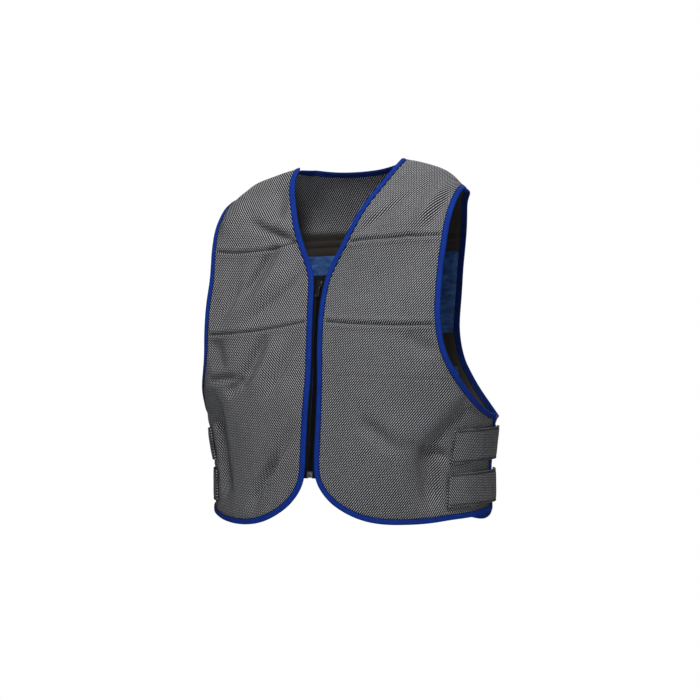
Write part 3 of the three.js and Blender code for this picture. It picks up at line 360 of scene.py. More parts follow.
class Shader:
    """A material's node tree, built by expressions."""

    def __init__(self, name):
        self.material = bpy.data.materials.new(name)
        self.material.use_nodes = True
        self.tree = self.material.node_tree
        self.surface = self.tree.nodes["Principled BSDF"]

    def node(self, kind, settings=None, values=None, output=0):
        made = self.tree.nodes.new(kind)
        for key, value in (settings or {}).items():
            if key == "stops":
                self.set_stops(made, value)
            else:
                setattr(made, key, value)
        for key, value in (values or {}).items():
            self.feed(made.inputs[key], value)
        return Wire(self, made.outputs[output])

    def set_stops(self, made, stops):
        elements = made.color_ramp.elements
        while len(elements) < len(stops):
            elements.new(1.0)
        for element, (place, colour) in zip(elements, stops):
            element.position = place
            element.color = (*colour, 1.0)

    def feed(self, socket, value):
        value = value.value if isinstance(value, Wire) else value
        if isinstance(value, bpy.types.NodeSocket):
            self.tree.links.new(value, socket)
        elif socket.type == "RGBA":
            socket.default_value = (*tuple(value)[:3], 1.0)
        else:
            socket.default_value = value

    def finish(self, **values):
        for key, value in values.items():
            self.feed(self.surface.inputs[key.replace("_", " ")], value)
        return self.material

    def place(self):
        return self.node("ShaderNodeTexCoord", output="Object")

    def parts(self, vector):
        """The three numbers of a vector."""
        split = self.node("ShaderNodeSeparateXYZ", values={0: vector})
        return [Wire(self, socket) for socket in split.value.node.outputs]

    def cloth_place(self):
        """Place along and up the cloth, in metres."""
        return self.parts(self.node("ShaderNodeUVMap", {"uv_map": "Cloth"}))[:2]

    def kept(self, name):
        """A number kept at the vertices."""
        return self.node("ShaderNodeAttribute", {"attribute_name": name}, output="Fac")

    def cloud(self, scale, detail=3.0, roughness=0.55, stretch=None):
        """Noise from 0 to 1 in place on the object. stretch scales its axes."""
        place = self.place()
        if stretch:
            place = self.node("ShaderNodeMapping", values={"Vector": place, "Scale": stretch})
        return self.node(
            "ShaderNodeTexNoise", values={
                "Vector": place, "Scale": scale, "Detail": detail, "Roughness": roughness})

    def blend(self, factor, first, second):
        return self.node(
            "ShaderNodeMix", {"data_type": "RGBA"},
            {0: factor, 6: first, 7: second}, output=2)

    def relief(self, height, distance, strength):
        values = {"Height": height, "Distance": distance, "Strength": strength}
        return self.node("ShaderNodeBump", values=values)


def spacer_mesh(name, hand):
    """Knitted mesh: light ribs on the slant over a near-black ground, broken into staggered dashes.

    hand is 1 where the ribs climb to the right as seen from outside, and -1 where they climb to the left.
    """
    shader = Shader(name)
    s = sizes()
    along, up = shader.cloth_place()
    lean = math.radians(s.rib_lean)
    drift = (shader.cloud(26.0, 2.0) - 0.5) * 0.9
    across_ribs = along * (hand * math.sin(lean) / s.rib_pitch) - up * (math.cos(lean) / s.rib_pitch) + drift
    along_ribs = along * (hand * math.cos(lean) / s.dash_pitch) + up * (math.sin(lean) / s.dash_pitch)
    stagger = (across_ribs.floor() * 0.5).fraction()
    rib = 1.0 - across_ribs.off_middle().ramp(0.05, 0.235)
    dash = rib * (1.0 - 0.58 * (along_ribs + stagger).off_middle().ramp(0.24, 0.46))
    uneven = shader.cloud(900.0, 2.0)
    patchy = shader.cloud(14.0, 4.0)
    # Where the inside is plain dark cloth, as painted shade inside the vest
    lining = shader.kept("lining")
    # Dashes are darkened along the seams and the straps' channels as painted shade
    light = dash * (0.70 + 0.6 * uneven) * (0.78 + 0.44 * patchy) * (1.0 - 0.7 * shader.kept("press"))
    mesh = shader.blend(light.least(1.0), tint("mesh_ground"), tint("mesh_dash"))
    plain = shader.blend(uneven, tint("lining", 0.5), tint("lining", 1.5))
    yarn = shader.blend(lining, mesh, plain)
    height = dash * 0.8 * (1.0 - lining) + uneven * 0.2
    return shader.finish(
        Base_Color=yarn, Roughness=0.62 + 0.25 * uneven, Specular_IOR_Level=0.2,
        Normal=shader.relief(height, 0.35 * MM, 0.6))


def binding_tape(name):
    """Blue twill tape: fine slanting ribs with painted highlight on their tops, painted shade along both
    edges where it is stitched to the cloth, and painted shade over its inner half.
    """
    shader = Shader(name)
    along, up = shader.cloth_place()
    # The lighter tops of the ribs are painted highlight
    wave = (along + up * 1.2).wave(1.1 * MM)
    weft = up.wave(0.5 * MM)
    patchy = shader.cloud(60.0, 4.0, 0.65)
    fuzz = shader.cloud(1700.0, 2.0)
    girth = tape_girth()
    from_hem = up.least(girth - up)
    # Painted shade along both edges, where the tape is stitched to the cloth
    edge_shade = 1.0 - from_hem.ramp(0.4 * MM, 2.8 * MM)
    # Painted shade over the tape's inner half
    inner = up.ramp(0.40 * girth, 0.56 * girth)
    tone = (0.35 + 0.65 * wave) * (0.55 + 0.9 * patchy) * (0.7 + 0.6 * fuzz) * (1.0 - 0.7 * edge_shade)
    tone = tone * (1.0 - 0.75 * inner)
    dye = shader.blend(tone.least(1.0), tint("tape", 0.22), tint("tape", 1.5))
    height = wave * 0.6 + weft * 0.25 + fuzz * 0.15
    return shader.finish(
        Base_Color=dye, Roughness=0.7 + 0.2 * fuzz, Specular_IOR_Level=0.12,
        Normal=shader.relief(height, 0.2 * MM, 0.7))


def thread(name, colour, shine):
    """Twisted sewing thread."""
    shader = Shader(name)
    twist = shader.cloud(1800.0, 1.0)
    tone = shader.blend(twist, tuple(Vector(colour) * 0.55), tuple(Vector(colour) * 1.4))
    return shader.finish(Base_Color=tone, Roughness=shine, Normal=shader.relief(twist, 0.1 * MM, 0.5))


def pad_cloth(name):
    """Plain woven polyester with a soft sheen, made paler on its crinkles by painted highlight."""
    shader = Shader(name)
    along, up = shader.cloth_place()
    warp = along.wave(0.6 * MM)
    weft = up.wave(0.6 * MM)
    crinkles = shader.cloud(62.0, 5.0, 0.65, stretch=(1.0, 1.0, 2.0))
    fuzz = shader.cloud(1500.0, 2.0)
    # Paler crinkles: painted highlight on their tops
    tone = (crinkles.ramp(0.32, 0.70) * 0.75 + 0.12 * warp + 0.13 * weft) * (0.85 + 0.3 * fuzz)
    bright = tuple(Vector(tint("pad", 1.5)) + Vector((0.01, 0.01, 0.0)))
    dye = shader.blend(tone.least(1.0), tint("pad", 0.4), bright)
    height = warp * weft * 0.3 + crinkles * 3.0
    return shader.finish(
        Base_Color=dye, Roughness=0.5 + 0.2 * fuzz, Sheen_Weight=0.2, Sheen_Roughness=0.35,
        Specular_IOR_Level=0.4, Normal=shader.relief(height, 0.5 * MM, 0.5))


def zip_cloth(name):
    """Black herringbone tape of the zip."""
    shader = Shader(name)
    across, _, up = shader.parts(shader.place())
    stripe = 2.4 * MM
    lean = (across * (1.0 / stripe)).off_middle() * stripe
    rib = (up + lean).wave(0.8 * MM)
    fuzz = shader.cloud(2200.0, 2.0)
    dye = shader.blend(rib * (0.6 + 0.4 * fuzz), tint("zip_black", 0.6), tint("zip_black", 2.2))
    return shader.finish(
        Base_Color=dye, Roughness=0.8, Specular_IOR_Level=0.15,
        Normal=shader.relief(rib + fuzz * 0.4, 0.12 * MM, 0.6))


def coil_nylon(name):
    """Black nylon of the coil, slightly dulled by rubbing."""
    shader = Shader(name)
    rub = shader.cloud(700.0, 3.0)
    dye = shader.blend(rub.ramp(0.35, 0.8), tint("zip_black"), tint("zip_black", 3.0))
    return shader.finish(Base_Color=dye, Roughness=0.5 + 0.25 * rub, Specular_IOR_Level=0.18,
                         Normal=shader.relief(rub, 0.05 * MM, 0.3))


def worn_enamel(name):
    """Black enamel with bare metal where it is rubbed through."""
    shader = Shader(name)
    rub = shader.cloud(420.0, 4.0, 0.65)
    edge = shader.node("ShaderNodeNewGeometry", output="Pointiness")
    bare = (edge.ramp(0.62, 0.70) * rub.ramp(0.5, 0.65)).most(rub.ramp(0.61, 0.70))
    dye = shader.blend(bare, tint("enamel"), tint("metal"))
    return shader.finish(
        Base_Color=dye, Roughness=0.42 + 0.2 * rub, Metallic=bare, Specular_IOR_Level=0.25,
        Normal=shader.relief(rub, 0.04 * MM, 0.25))


def dull_metal(name):
    """Grey die-cast metal with fine scratches."""
    shader = Shader(name)
    scratch = shader.cloud(500.0, 4.0, 0.7, stretch=(1.0, 1.0, 0.15))
    grime = shader.cloud(260.0, 3.0)
    dye = shader.blend(grime.ramp(0.3, 0.75), tint("metal", 0.35), tint("metal"))
    return shader.finish(
        Base_Color=dye, Roughness=0.28 + 0.35 * scratch, Metallic=0.9,
        Normal=shader.relief(scratch, 0.04 * MM, 0.3))


MAKERS = {
    "mesh_climbing_right": lambda name: spacer_mesh(name, 1.0),
    "mesh_climbing_left": lambda name: spacer_mesh(name, -1.0),
    "tape": binding_tape,
    "tape_thread": lambda name: thread(name, tint("tape", 1.2), 0.5),
    "strap_thread": lambda name: thread(name, (0.45, 0.46, 0.48), 0.5),
    "dark_thread": lambda name: thread(name, (0.012, 0.012, 0.013), 0.6),
    "pad": pad_cloth,
    "zip_cloth": zip_cloth,
    "coil": coil_nylon,
    "enamel": worn_enamel,
    "metal": dull_metal,
}
made_materials = {}


def material(key):
    if key not in made_materials:
        made_materials[key] = MAKERS[key](key)
    return made_materials[key]


def dress(obj, key, body=BODY, replaced=()):
    """Gives a finished piece its material and body, and hides the frame's nodes that it stands for."""
    obj.data.materials.clear()
    obj.data.materials.append(material(key))
    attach(obj, body)
    if replaced:
        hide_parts(*replaced)
    return obj


def select_only(obj):
    bpy.ops.object.select_all(action="DESELECT")
    obj.hide_set(False)
    obj.select_set(True)
    bpy.context.view_layer.objects.active = obj


def apply_modifier(obj, kind, **settings):
    """Adds a modifier with its settings and applies it."""
    modifier = obj.modifiers.new(kind.title(), kind)
    for key, value in settings.items():
        setattr(modifier, key, value)
    select_only(obj)
    bpy.ops.object.modifier_apply(modifier=modifier.name)


def soften(obj, degrees=180):
    """Smooth shading, apart from edges that turn by more than the angle."""
    select_only(obj)
    if degrees < 180:
        bpy.ops.object.shade_smooth_by_angle(angle=math.radians(degrees))
    else:
        bpy.ops.object.shade_smooth()


def object_from(bm, name):
    mesh = bpy.data.meshes.new(name)
    bm.to_mesh(mesh)
    bm.free()
    obj = bpy.data.objects.new(name, mesh)
    bpy.context.scene.collection.objects.link(obj)
    return obj


def places(obj):
    co = np.zeros(len(obj.data.vertices) * 3)
    obj.data.vertices.foreach_get("co", co)
    return co.reshape(-1, 3)


def normals_of(obj):
    normals = np.zeros(len(obj.data.vertices) * 3)
    obj.data.vertex_normals.foreach_get("vector", normals)
    return normals.reshape(-1, 3)


def move_to(obj, co):
    obj.data.vertices.foreach_set("co", co.astype(np.float32).ravel())
    obj.data.update()


def keep_value(obj, name, values):
    """Keeps a number at each vertex, for the materials."""
    obj.data.attributes.new(name, "FLOAT", "POINT").data.foreach_set("value", values)


def smooth(low, high, x):
    """0 below low and 1 above high, smooth between them."""
    t = np.clip((x - low) / (high - low), 0.0, 1.0)
    return t * t * (3.0 - 2.0 * t)


def bell(x, width):
    return np.exp(-((x / width) ** 2))


def unit_rows(vectors):
    return vectors / np.linalg.norm(vectors, axis=1)[:, None]


def length_along(path):
    """Distance along the path to each of its places."""
    return np.concatenate([[0.0], np.cumsum(np.linalg.norm(np.diff(path, axis=0), axis=1))])


def row_at(where, length, rows):
    """The row at a length, between the two that are nearest."""
    return np.array([np.interp(where, length, rows[:, axis]) for axis in range(3)])


def tree_of(points):
    tree = kdtree.KDTree(len(points))
    for i, point in enumerate(points):
        tree.insert(point, i)
    tree.balance()
    return tree


def distances(points, targets, far=1.0):
    """Distance from each point to the nearest of the targets."""
    if not len(targets):
        return np.full(len(points), far)
    tree = tree_of(targets)
    return np.array([tree.find(point)[2] for point in points])


def merged_copy(node):
    """The frame's mesh of a node, with its shared vertices merged."""
    bm = bmesh.new()
    bm.from_mesh(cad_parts[node].data)
    bmesh.ops.remove_doubles(bm, verts=bm.verts, dist=0.01 * MM)
    bm.normal_update()
    return bm


def join_pairs(bm, most):
    """Joins pairs of triangles that meet at less than the angle."""
    bmesh.ops.join_triangles(
        bm, faces=bm.faces, cmp_seam=False, cmp_sharp=False, cmp_uvs=False, cmp_vcols=False,
        cmp_materials=False, angle_face_threshold=most, angle_shape_threshold=math.pi)


def smooth_patches(faces):
    """Groups of the faces that join without a sharp edge."""
    unseen = set(faces)
    patches = []
    for first in faces:
        if first not in unseen:
            continue
        unseen.discard(first)
        patch = [first]
        for face in patch:
            for edge in face.edges:
                for other in edge.link_faces:
                    if other in unseen and face.normal.angle(other.normal, math.pi) < SHARP:
                        unseen.discard(other)
                        patch.append(other)
        patches.append(patch)
    return patches


def outward_area(patch):
    """How much of a patch faces away from the middle of the vest."""
    return sum(f.normal.dot((f.calc_center_median() - CORE).normalized()) * f.calc_area() for f in patch)


def outer_sheet(node):
    """The outside of a cloth wall as an open sheet of quads, with its wall at each vertex."""
    bm = merged_copy(node)
    patches = smooth_patches(list(bm.faces))
    outer = max(patches, key=outward_area)
    inner = min(patches, key=outward_area)
    inner_points = [v.co.copy() for v in {v for f in inner for v in f.verts}]
    kept = set(outer)
    corners = {v for f in outer for v in f.verts}
    for patch in patches:
        if patch is not outer and all(v in corners for f in patch for v in f.verts):
            kept.update(patch)
    bmesh.ops.delete(bm, geom=[f for f in bm.faces if f not in kept], context="FACES")
    loose = [v for v in bm.verts if not v.link_faces]
    bmesh.ops.delete(bm, geom=loose, context="VERTS")
    join_pairs(bm, math.pi)
    wall = bm.verts.layers.float.new("wall")
    tree = tree_of(inner_points)
    for vert in bm.verts:
        vert[wall] = tree.find(vert.co)[2]
    return bm


def mark_seams(bm):
    """Marks the vertices of the pressed quilting rows, away from the strips under the bindings."""
    wall = bm.verts.layers.float["wall"]
    seam = bm.verts.layers.float.new("seam")
    pressed = {v for v in bm.verts if v[wall] < PRESSED_WALL}
    edge = {v for v in pressed if v.is_boundary}
    rim = {v for v in pressed - edge if any(e.other_vert(v) in edge for e in v.link_edges)}
    rows = pressed - edge - rim
    for vert in rows:
        vert[seam] = 1.0
        ends = [e.other_vert(vert) for e in vert.link_edges if e.other_vert(vert) in rim]
        if ends:
            min(ends, key=lambda v: abs(v.co.z - vert.co.z))[seam] = 1.0


def keep_corners(bm):
    """Creases the sharp corners of the open edge, so that subdivision keeps them."""
    crease = bm.verts.layers.float.get("crease_vert") or bm.verts.layers.float.new("crease_vert")
    for vert in bm.verts:
        ends = [e.other_vert(vert).co - vert.co for e in vert.link_edges if e.is_boundary]
        if len(ends) == 2 and (math.pi - ends[0].angle(ends[1])) > CORNER_TURN:
            vert[crease] = 1.0


def unwrap(obj):
    """Lays the sheet flat in a UV map in metres, with its height upwards."""
    obj.data.uv_layers.new(name="Cloth")
    select_only(obj)
    bpy.ops.object.mode_set(mode="EDIT")
    bpy.ops.mesh.select_all(action="SELECT")
    bpy.ops.uv.unwrap(method="ANGLE_BASED", margin=0.0)
    bpy.ops.object.mode_set(mode="OBJECT")
    layer = obj.data.uv_layers["Cloth"]
    uv = np.zeros(len(obj.data.loops) * 2)
    layer.data.foreach_get("uv", uv)
    uv = uv.reshape(-1, 2)
    corner = np.zeros(len(obj.data.loops), int)
    obj.data.loops.foreach_get("vertex_index", corner)
    co = places(obj)[corner]
    flat = 0.0
    real = 0.0
    for polygon in obj.data.polygons:
        ids = list(polygon.loop_indices)
        x, y = uv[ids, 0], uv[ids, 1]
        flat += abs(np.sum(x * np.roll(y, -1) - np.roll(x, -1) * y)) / 2.0
        real += polygon.area
    uv *= math.sqrt(real / flat)
    uv -= uv.mean(0)
    lift = np.linalg.lstsq(uv, co[:, 2] - co[:, 2].mean(), rcond=None)[0]
    lift /= np.linalg.norm(lift)
    side = np.array([lift[1], -lift[0]])
    turned = np.stack([uv @ side, uv @ lift], 1)
    layer.data.foreach_set("uv", turned.ravel())


def boundary_loops(obj):
    """Ordered loops of vertices round the open edges."""
    bm = bmesh.new()
    bm.from_mesh(obj.data)
    unused = {e for e in bm.edges if e.is_boundary}
    loops = []
    while unused:
        edge = min(unused, key=lambda e: e.index)
        unused.discard(edge)
        loop = [edge.verts[0].index, edge.verts[1].index]
        vert = edge.verts[1]
        while vert.index != loop[0]:
            edge = next((e for e in vert.link_edges if e in unused), None)
            if edge is None:
                break
            unused.discard(edge)
            vert = edge.other_vert(vert)
            loop.append(vert.index)
        loops.append(loop[:-1] if loop[0] == loop[-1] else loop)
    bm.free()
    return loops


def open_edge(obj):
    """The vertices of all the open edges."""
    return [i for loop in boundary_loops(obj) for i in loop]


def fold_rise(co):
    """Rise of the small folds at places on the fronts."""
    rise = np.zeros(len(co))
    for fold in FOLDS:
        start = np.array(fold.start)
        along = np.array(fold.end) - start
        away = co[:, [0, 2]] - start
        length = np.linalg.norm(along)
        share = away @ along / length**2
        aside = (away[:, 0] * along[1] - away[:, 1] * along[0]) / length / (fold.width * MM)
        ends = smooth(*FOLD_START, share) * (1.0 - smooth(*FOLD_END, share))
        if fold.kind == "lap":
            shape = smooth(-LAP_DROP, LAP_DROP, aside) * np.exp(-np.maximum(aside, 0.0))
        else:
            shape = np.exp(-aside * aside)
        rise += fold.rise * FOLD_GAIN * MM * ends * shape
    return rise


def settle_cloth(obj):
    """Moves the cloth to where it hangs on the wearer."""
    co = places(obj)
    moved = co.copy()
    for spot in SETTLING:
        away = (co - np.array(spot.at) * MM) / (np.array(spot.reach) * MM)
        moved += np.array(spot.move) * MM * np.exp(-(away * away).sum(1))[:, None]
    move_to(obj, moved)


def unevenness(co, scale, seed, stretch=(1.0, 1.0, 1.0)):
    """Soft noise from -1 to 1 over a length. stretch scales the places' axes."""
    shift = Vector((seed * 7.3, seed * 3.1, seed * 1.7))
    return np.array([noise.noise(Vector(point) / scale + shift) for point in co * np.array(stretch)])


def under_straps(co):
    """1 where a strap lies on the cloth, 0 away from it."""
    cover = np.zeros(len(co))
    for strap in STRAPS:
        low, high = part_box(strap)
        inside = np.ones(len(co))
        for axis in range(3):
            inside *= smooth(low[axis] - STRAP_MARGIN, low[axis], co[:, axis])
            inside *= 1.0 - smooth(high[axis], high[axis] + STRAP_MARGIN, co[:, axis])
        cover = np.maximum(cover, inside)
    return cover


def quilt(obj, front):
    """Presses the seams in, puckers the cloth beside them, lays in its folds and keeps a painted shade along
    the seams.
    """
    s = sizes()
    co = places(obj)
    seam = np.zeros(len(co))
    obj.data.attributes["seam"].data.foreach_get("value", seam)
    from_seam = distances(co, co[seam > SEAM_CORE])
    from_edge = distances(co, co[open_edge(obj)])
    depth = np.where(co[:, 2] < SEAM_FAINT_BELOW, FAINT, 1.0)
    groove = -s.seam_depth * bell(from_seam, s.seam_width)
    beside = bell(from_seam - SWELL_AWAY * s.seam_width, SWELL_WIDTH * s.seam_width)
    waves = unevenness(co, PUCKER_LENGTH, 1, PUCKER_STRETCH)
    waves *= np.exp(-from_seam / PUCKER_REACH) * smooth(0.0, PUCKER_START * s.seam_width, from_seam)
    soft = unevenness(co, LONG_RIPPLE, 2) + SHORT_SHARE * unevenness(co, SHORT_RIPPLE, 3)
    rise = (groove + SWELL_SHARE * s.seam_depth * beside + s.pucker * waves) * depth + s.ripple * soft
    if front:
        covered = under_straps(co)
        rise += fold_rise(co)
        calm = 1.0 - (1.0 - CALM_LEAST) * covered
    else:
        calm = CALM_LEAST + (1.0 - CALM_LEAST) * smooth(*CALM_AT_SIDE, co[:, 1])
    rise *= calm * smooth(*CALM_AT_EDGE, from_edge)
    if front:
        rise -= STRAP_SINK * covered * smooth(*SINK_AT_EDGE, from_edge)
    move_to(obj, co + normals_of(obj) * rise[:, None])
    # Painted shade along the quilting seams, for the mesh's colour
    keep_value(obj, "press", depth * bell(from_seam, SEAM_SHADE_WIDTH))
    group = obj.vertex_groups.new(name="wall")
    least = s.edge_wall / s.mesh_wall
    at_edge = least + (1.0 - least) * smooth(*THIN_AT_EDGE, from_edge)
    at_seam = SEAM_WALL + (1.0 - SEAM_WALL) * smooth(*THIN_AT_SEAM, from_seam)
    for i, weight in enumerate(np.minimum(at_edge, at_seam)):
        group.add([i], float(weight), "REPLACE")


edge_runs = []


def leads_off(tree, place, way, reach):
    """Whether a step that way leaves the cloth."""
    return tree.find(place + way * reach)[2] > reach / 2


def note_edges(obj, bindings):
    """Keeps the runs of the cut edge that each binding folds over."""
    co = places(obj)
    normals = normals_of(obj)
    tree = tree_of(co)
    tapes = {name: BVHTree.FromBMesh(merged_copy(name)) for name in bindings}
    loop = max(boundary_loops(obj), key=len)
    ring = co[loop]
    before = unit_rows(ring - np.roll(ring, 1, 0))
    after = unit_rows(np.roll(ring, -1, 0) - ring)
    corners = [i for i, cosine in enumerate((before * after).sum(1)) if cosine < CORNER_COSINE]
    start = corners[0] if corners else 0
    ids = [(start + k) % len(loop) for k in range(len(loop))] + [start]
    cuts = [k for k, i in enumerate(ids) if i in corners] or [0, len(ids) - 1]
    joined = []
    for a, b in zip(cuts, cuts[1:]):
        middle = co[loop[ids[(a + b) // 2]]]
        far, label = min((tape.find_nearest(middle)[3], name) for name, tape in tapes.items())
        if far >= TAPE_NEAR:
            joined.append((None, a, b))
        elif joined and joined[-1][0] == label:
            joined[-1] = (label, joined[-1][1], b)
        else:
            joined.append((label, a, b))
    for label, a, b in joined:
        if label:
            keep_run(label, [loop[ids[k]] for k in range(a, b + 1)], co, normals, tree)


def keep_run(label, ids, co, normals, tree):
    """Keeps one run: its places, its directions out of the cloth, and those into it along the cloth."""
    path = co[ids]
    up = normals[ids]
    step = unit_rows(np.diff(path, axis=0))
    inward = unit_rows(np.cross(up, np.vstack([step, step[-1:]])))
    middle = len(path) // 2
    flipped = leads_off(tree, path[middle], inward[middle], EDGE_PROBE)
    if flipped:
        inward = -inward
    edge_runs.append({"name": label, "path": path, "up": up, "inward": inward, "flipped": flipped})


class VEST_OT_panels(bpy.types.Operator):
    """Make the quilted mesh fronts and back"""

    bl_idname = "vest.panels"
    bl_label = "Mesh panels"

    def execute(self, context):
        for node in PANELS:
            self.make(node)
        return {"FINISHED"}

    def make(self, node):
        s = sizes()
        bm = outer_sheet(node)
        mark_seams(bm)
        keep_corners(bm)
        obj = object_from(bm, f"{node}_cloth")
        unwrap(obj)
        apply_modifier(obj, "SUBSURF", levels=3, render_levels=3, boundary_smooth="PRESERVE_CORNERS")
        settle_cloth(obj)
        quilt(obj, node != "back_panel")
        hand = node.rsplit("_", 1)[-1]
        known = [b for b in BINDINGS if b.startswith(node.split("_")[0])]
        known = [b for b in known if hand == "panel" or b.endswith(hand)]
        note_edges(obj, known)
        outside = len(obj.data.vertices)
        apply_modifier(obj, "SOLIDIFY", thickness=s.mesh_wall, offset=-1.0, use_even_offset=False,
                       vertex_group="wall", thickness_vertex_group=0.05)
        self.line(obj, outside, node)
        soften(obj)
        weave = "mesh_climbing_right" if hand == "left" else "mesh_climbing_left"
        dress(obj, weave, replaced=(node,))

    def line(self, obj, outside, node):
        """Marks the inside as plain dark cloth, whose darkness is painted shade inside the vest, apart from
        the bare mesh below the back's neck.
        """
        co = places(obj)
        shaded_inside = np.ones(len(co))
        shaded_inside[:outside] = 0.0
        if node == "back_panel":
            bare = smooth(*BARE_BELOW, co[:, 2]) * (1.0 - smooth(*BARE_HALF, np.abs(co[:, 0])))
            shaded_inside *= 1.0 - bare
        keep_value(obj, "lining", shaded_inside)


class VEST_OT_bindings(bpy.types.Operator):
    """Fold the blue tape over the cut edges and stitch it down"""

    bl_idname = "vest.bindings"
    bl_label = "Bindings"

    def execute(self, context):
        for name in BINDINGS:
            runs = [run for run in edge_runs if run["name"] == name]
            if not runs:
                raise RuntimeError(f"no cut edge was found for {name}")
            tape = bmesh.new()
            stitches = bmesh.new()
            for run in runs:
                fold_tape(tape, run)
                sew_tape(stitches, run)
            obj = object_from(tape, f"{name}_tape")
            soften(obj, 50)
            dress(obj, "tape", replaced=(name,))
            seam = object_from(stitches, f"{name}_stitches")
            dress(seam, "tape_thread")
        return {"FINISHED"}


def tape_profile():
    """Section of the folded tape: reach into the cloth and height over its middle, anticlockwise."""
    s = sizes()
    out, wall, reach, fold = s.binding_half, s.binding_wall, s.binding_reach, s.fold_out
    row = reach - ROW_INSET
    top = [(reach, out - 0.15 * MM), (reach - 0.7 * MM, out + 0.12 * MM), (row, out - 0.22 * MM),
           (row - 1.6 * MM, out + 0.1 * MM), (1.5 * MM, out + 0.1 * MM)]
    turn = [(-fold + out * 0.75 * (1 - math.cos(a)), out * math.sin(a))
            for a in (math.pi / 2.6, math.pi / 5, math.pi / 14)]
    under = [(x, -y) for x, y in reversed(top + turn)]
    inner = out - wall
    inside = [(reach, -inner), (0.2 * MM, -inner), (-fold + wall, -inner * 0.6),
              (-fold + wall, inner * 0.6), (0.2 * MM, inner), (reach, inner)]
    return top + turn + under + inside


def girth_along(profile):
    """Distance round the section at each of its points."""
    girth = [0.0]
    for (x0, y0), (x1, y1) in zip(profile, profile[1:]):
        girth.append(girth[-1] + math.hypot(x1 - x0, y1 - y0))
    return girth


def tape_girth():
    """Width of the tape from one sewn edge round to the other."""
    return girth_along(tape_profile()[:OUTSIDE_POINTS])[-1]


def smoothed(run):
    """The run's own place and directions, evened along it."""
    up = run["up"].copy()
    inward = run["inward"].copy()
    for _ in range(3):
        for rows in (up, inward):
            rows[1:-1] = (rows[:-2] + rows[1:-1] * 2 + rows[2:]) / 4
    up = unit_rows(up)
    inward = unit_rows(inward - (inward * up).sum(1)[:, None] * up)
    return run["path"], up, inward, length_along(run["path"])


def fold_tape(bm, run):
    """One length of tape, swept along the cut edge."""
    s = sizes()
    path, up, inward, length = smoothed(run)
    profile = tape_profile()
    girth = girth_along(profile)
    layer = bm.loops.layers.uv.get("Cloth") or bm.loops.layers.uv.new("Cloth")
    rings = []
    for i, place in enumerate(path):
        middle = place - up[i] * (s.edge_wall / 2)
        wander = 1.0 + 0.05 * noise.noise(Vector(place) / (16 * MM))
        full = 1.0 + 0.07 * noise.noise(Vector(place) / (11 * MM) + Vector((5.0, 0.0, 0.0)))
        from_end = min(length[i], length[-1] - length[i])
        end = END_TAPER + (1.0 - END_TAPER) * smooth(0.0, TAPER_LENGTH, from_end)
        ring = []
        for x, y in profile:
            reach = x * (wander * end if x > 0 else end)
            ring.append(bm.verts.new(middle + inward[i] * reach + up[i] * (y * full * end)))
        rings.append(ring)
    flip = run["flipped"]
    count = len(profile)
    for i in range(len(rings) - 1):
        for k in range(count):
            n = (k + 1) % count
            far = girth[n] if n else girth[-1] + s.binding_wall
            corners = [(rings[i][k], length[i], girth[k]), (rings[i + 1][k], length[i + 1], girth[k]),
                       (rings[i + 1][n], length[i + 1], far), (rings[i][n], length[i], far)]
            if flip:
                corners.reverse()
            face = bm.faces.new([c[0] for c in corners])
            for loop, corner in zip(face.loops, corners):
                loop[layer].uv = (corner[1], corner[2])
    ends = [bm.faces.new(rings[0]), bm.faces.new(list(reversed(rings[-1])))]
    if flip:
        for face in ends:
            face.normal_flip()
    bmesh.ops.triangulate(bm, faces=ends)


def tube(bm, rings):
    """Closed square tube through rings of four places."""
    for first, second in zip(rings, rings[1:]):
        for k in range(4):
            n = (k + 1) % 4
            bm.faces.new([first[k], first[n], second[n], second[k]])
    bm.faces.new(list(reversed(rings[0])))
    bm.faces.new(rings[-1])


def add_stitch(bm, start, end, out, thickness):
    """A short thread between two places, bowed out over the cloth."""
    along = end - start
    side = np.cross(along / np.linalg.norm(along), out)
    rings = []
    for knot in STITCH:
        middle = start + along * knot.share + out * (knot.lift * thickness)
        r = thickness * 0.5 * knot.girth
        rings.append([bm.verts.new(middle + side * (r * a) + out * (r * b))
                      for a, b in ((1, 0), (0, 1), (-1, 0), (0, -1))])
    tube(bm, rings)


def sew_along(bm, line, out, stout=1.0):
    """Stitches along a line of places, with an outward direction at each. stout thickens the thread."""
    s = sizes()
    length = length_along(line)
    at = FIRST_STITCH
    while at + s.stitch_length < length[-1] - 1.0 * MM:
        start = row_at(at, length, line)
        end = row_at(at + s.stitch_length, length, line)
        normal = row_at(at + s.stitch_length / 2, length, out)
        add_stitch(bm, start, end, normal / np.linalg.norm(normal), s.thread * stout)
        at += s.stitch_length + s.stitch_gap * stout


def sew_tape(bm, run):
    """Stitches along the tape's edge, on both sides of the cloth."""
    s = sizes()
    path, up, inward, _ = smoothed(run)
    row = s.binding_reach - ROW_INSET
    for side in (1.0, -1.0):
        height = side * (s.binding_half - 0.2 * MM)
        line = path - up * (s.edge_wall / 2) + inward * row + up * height
        sew_along(bm, line, up * side)


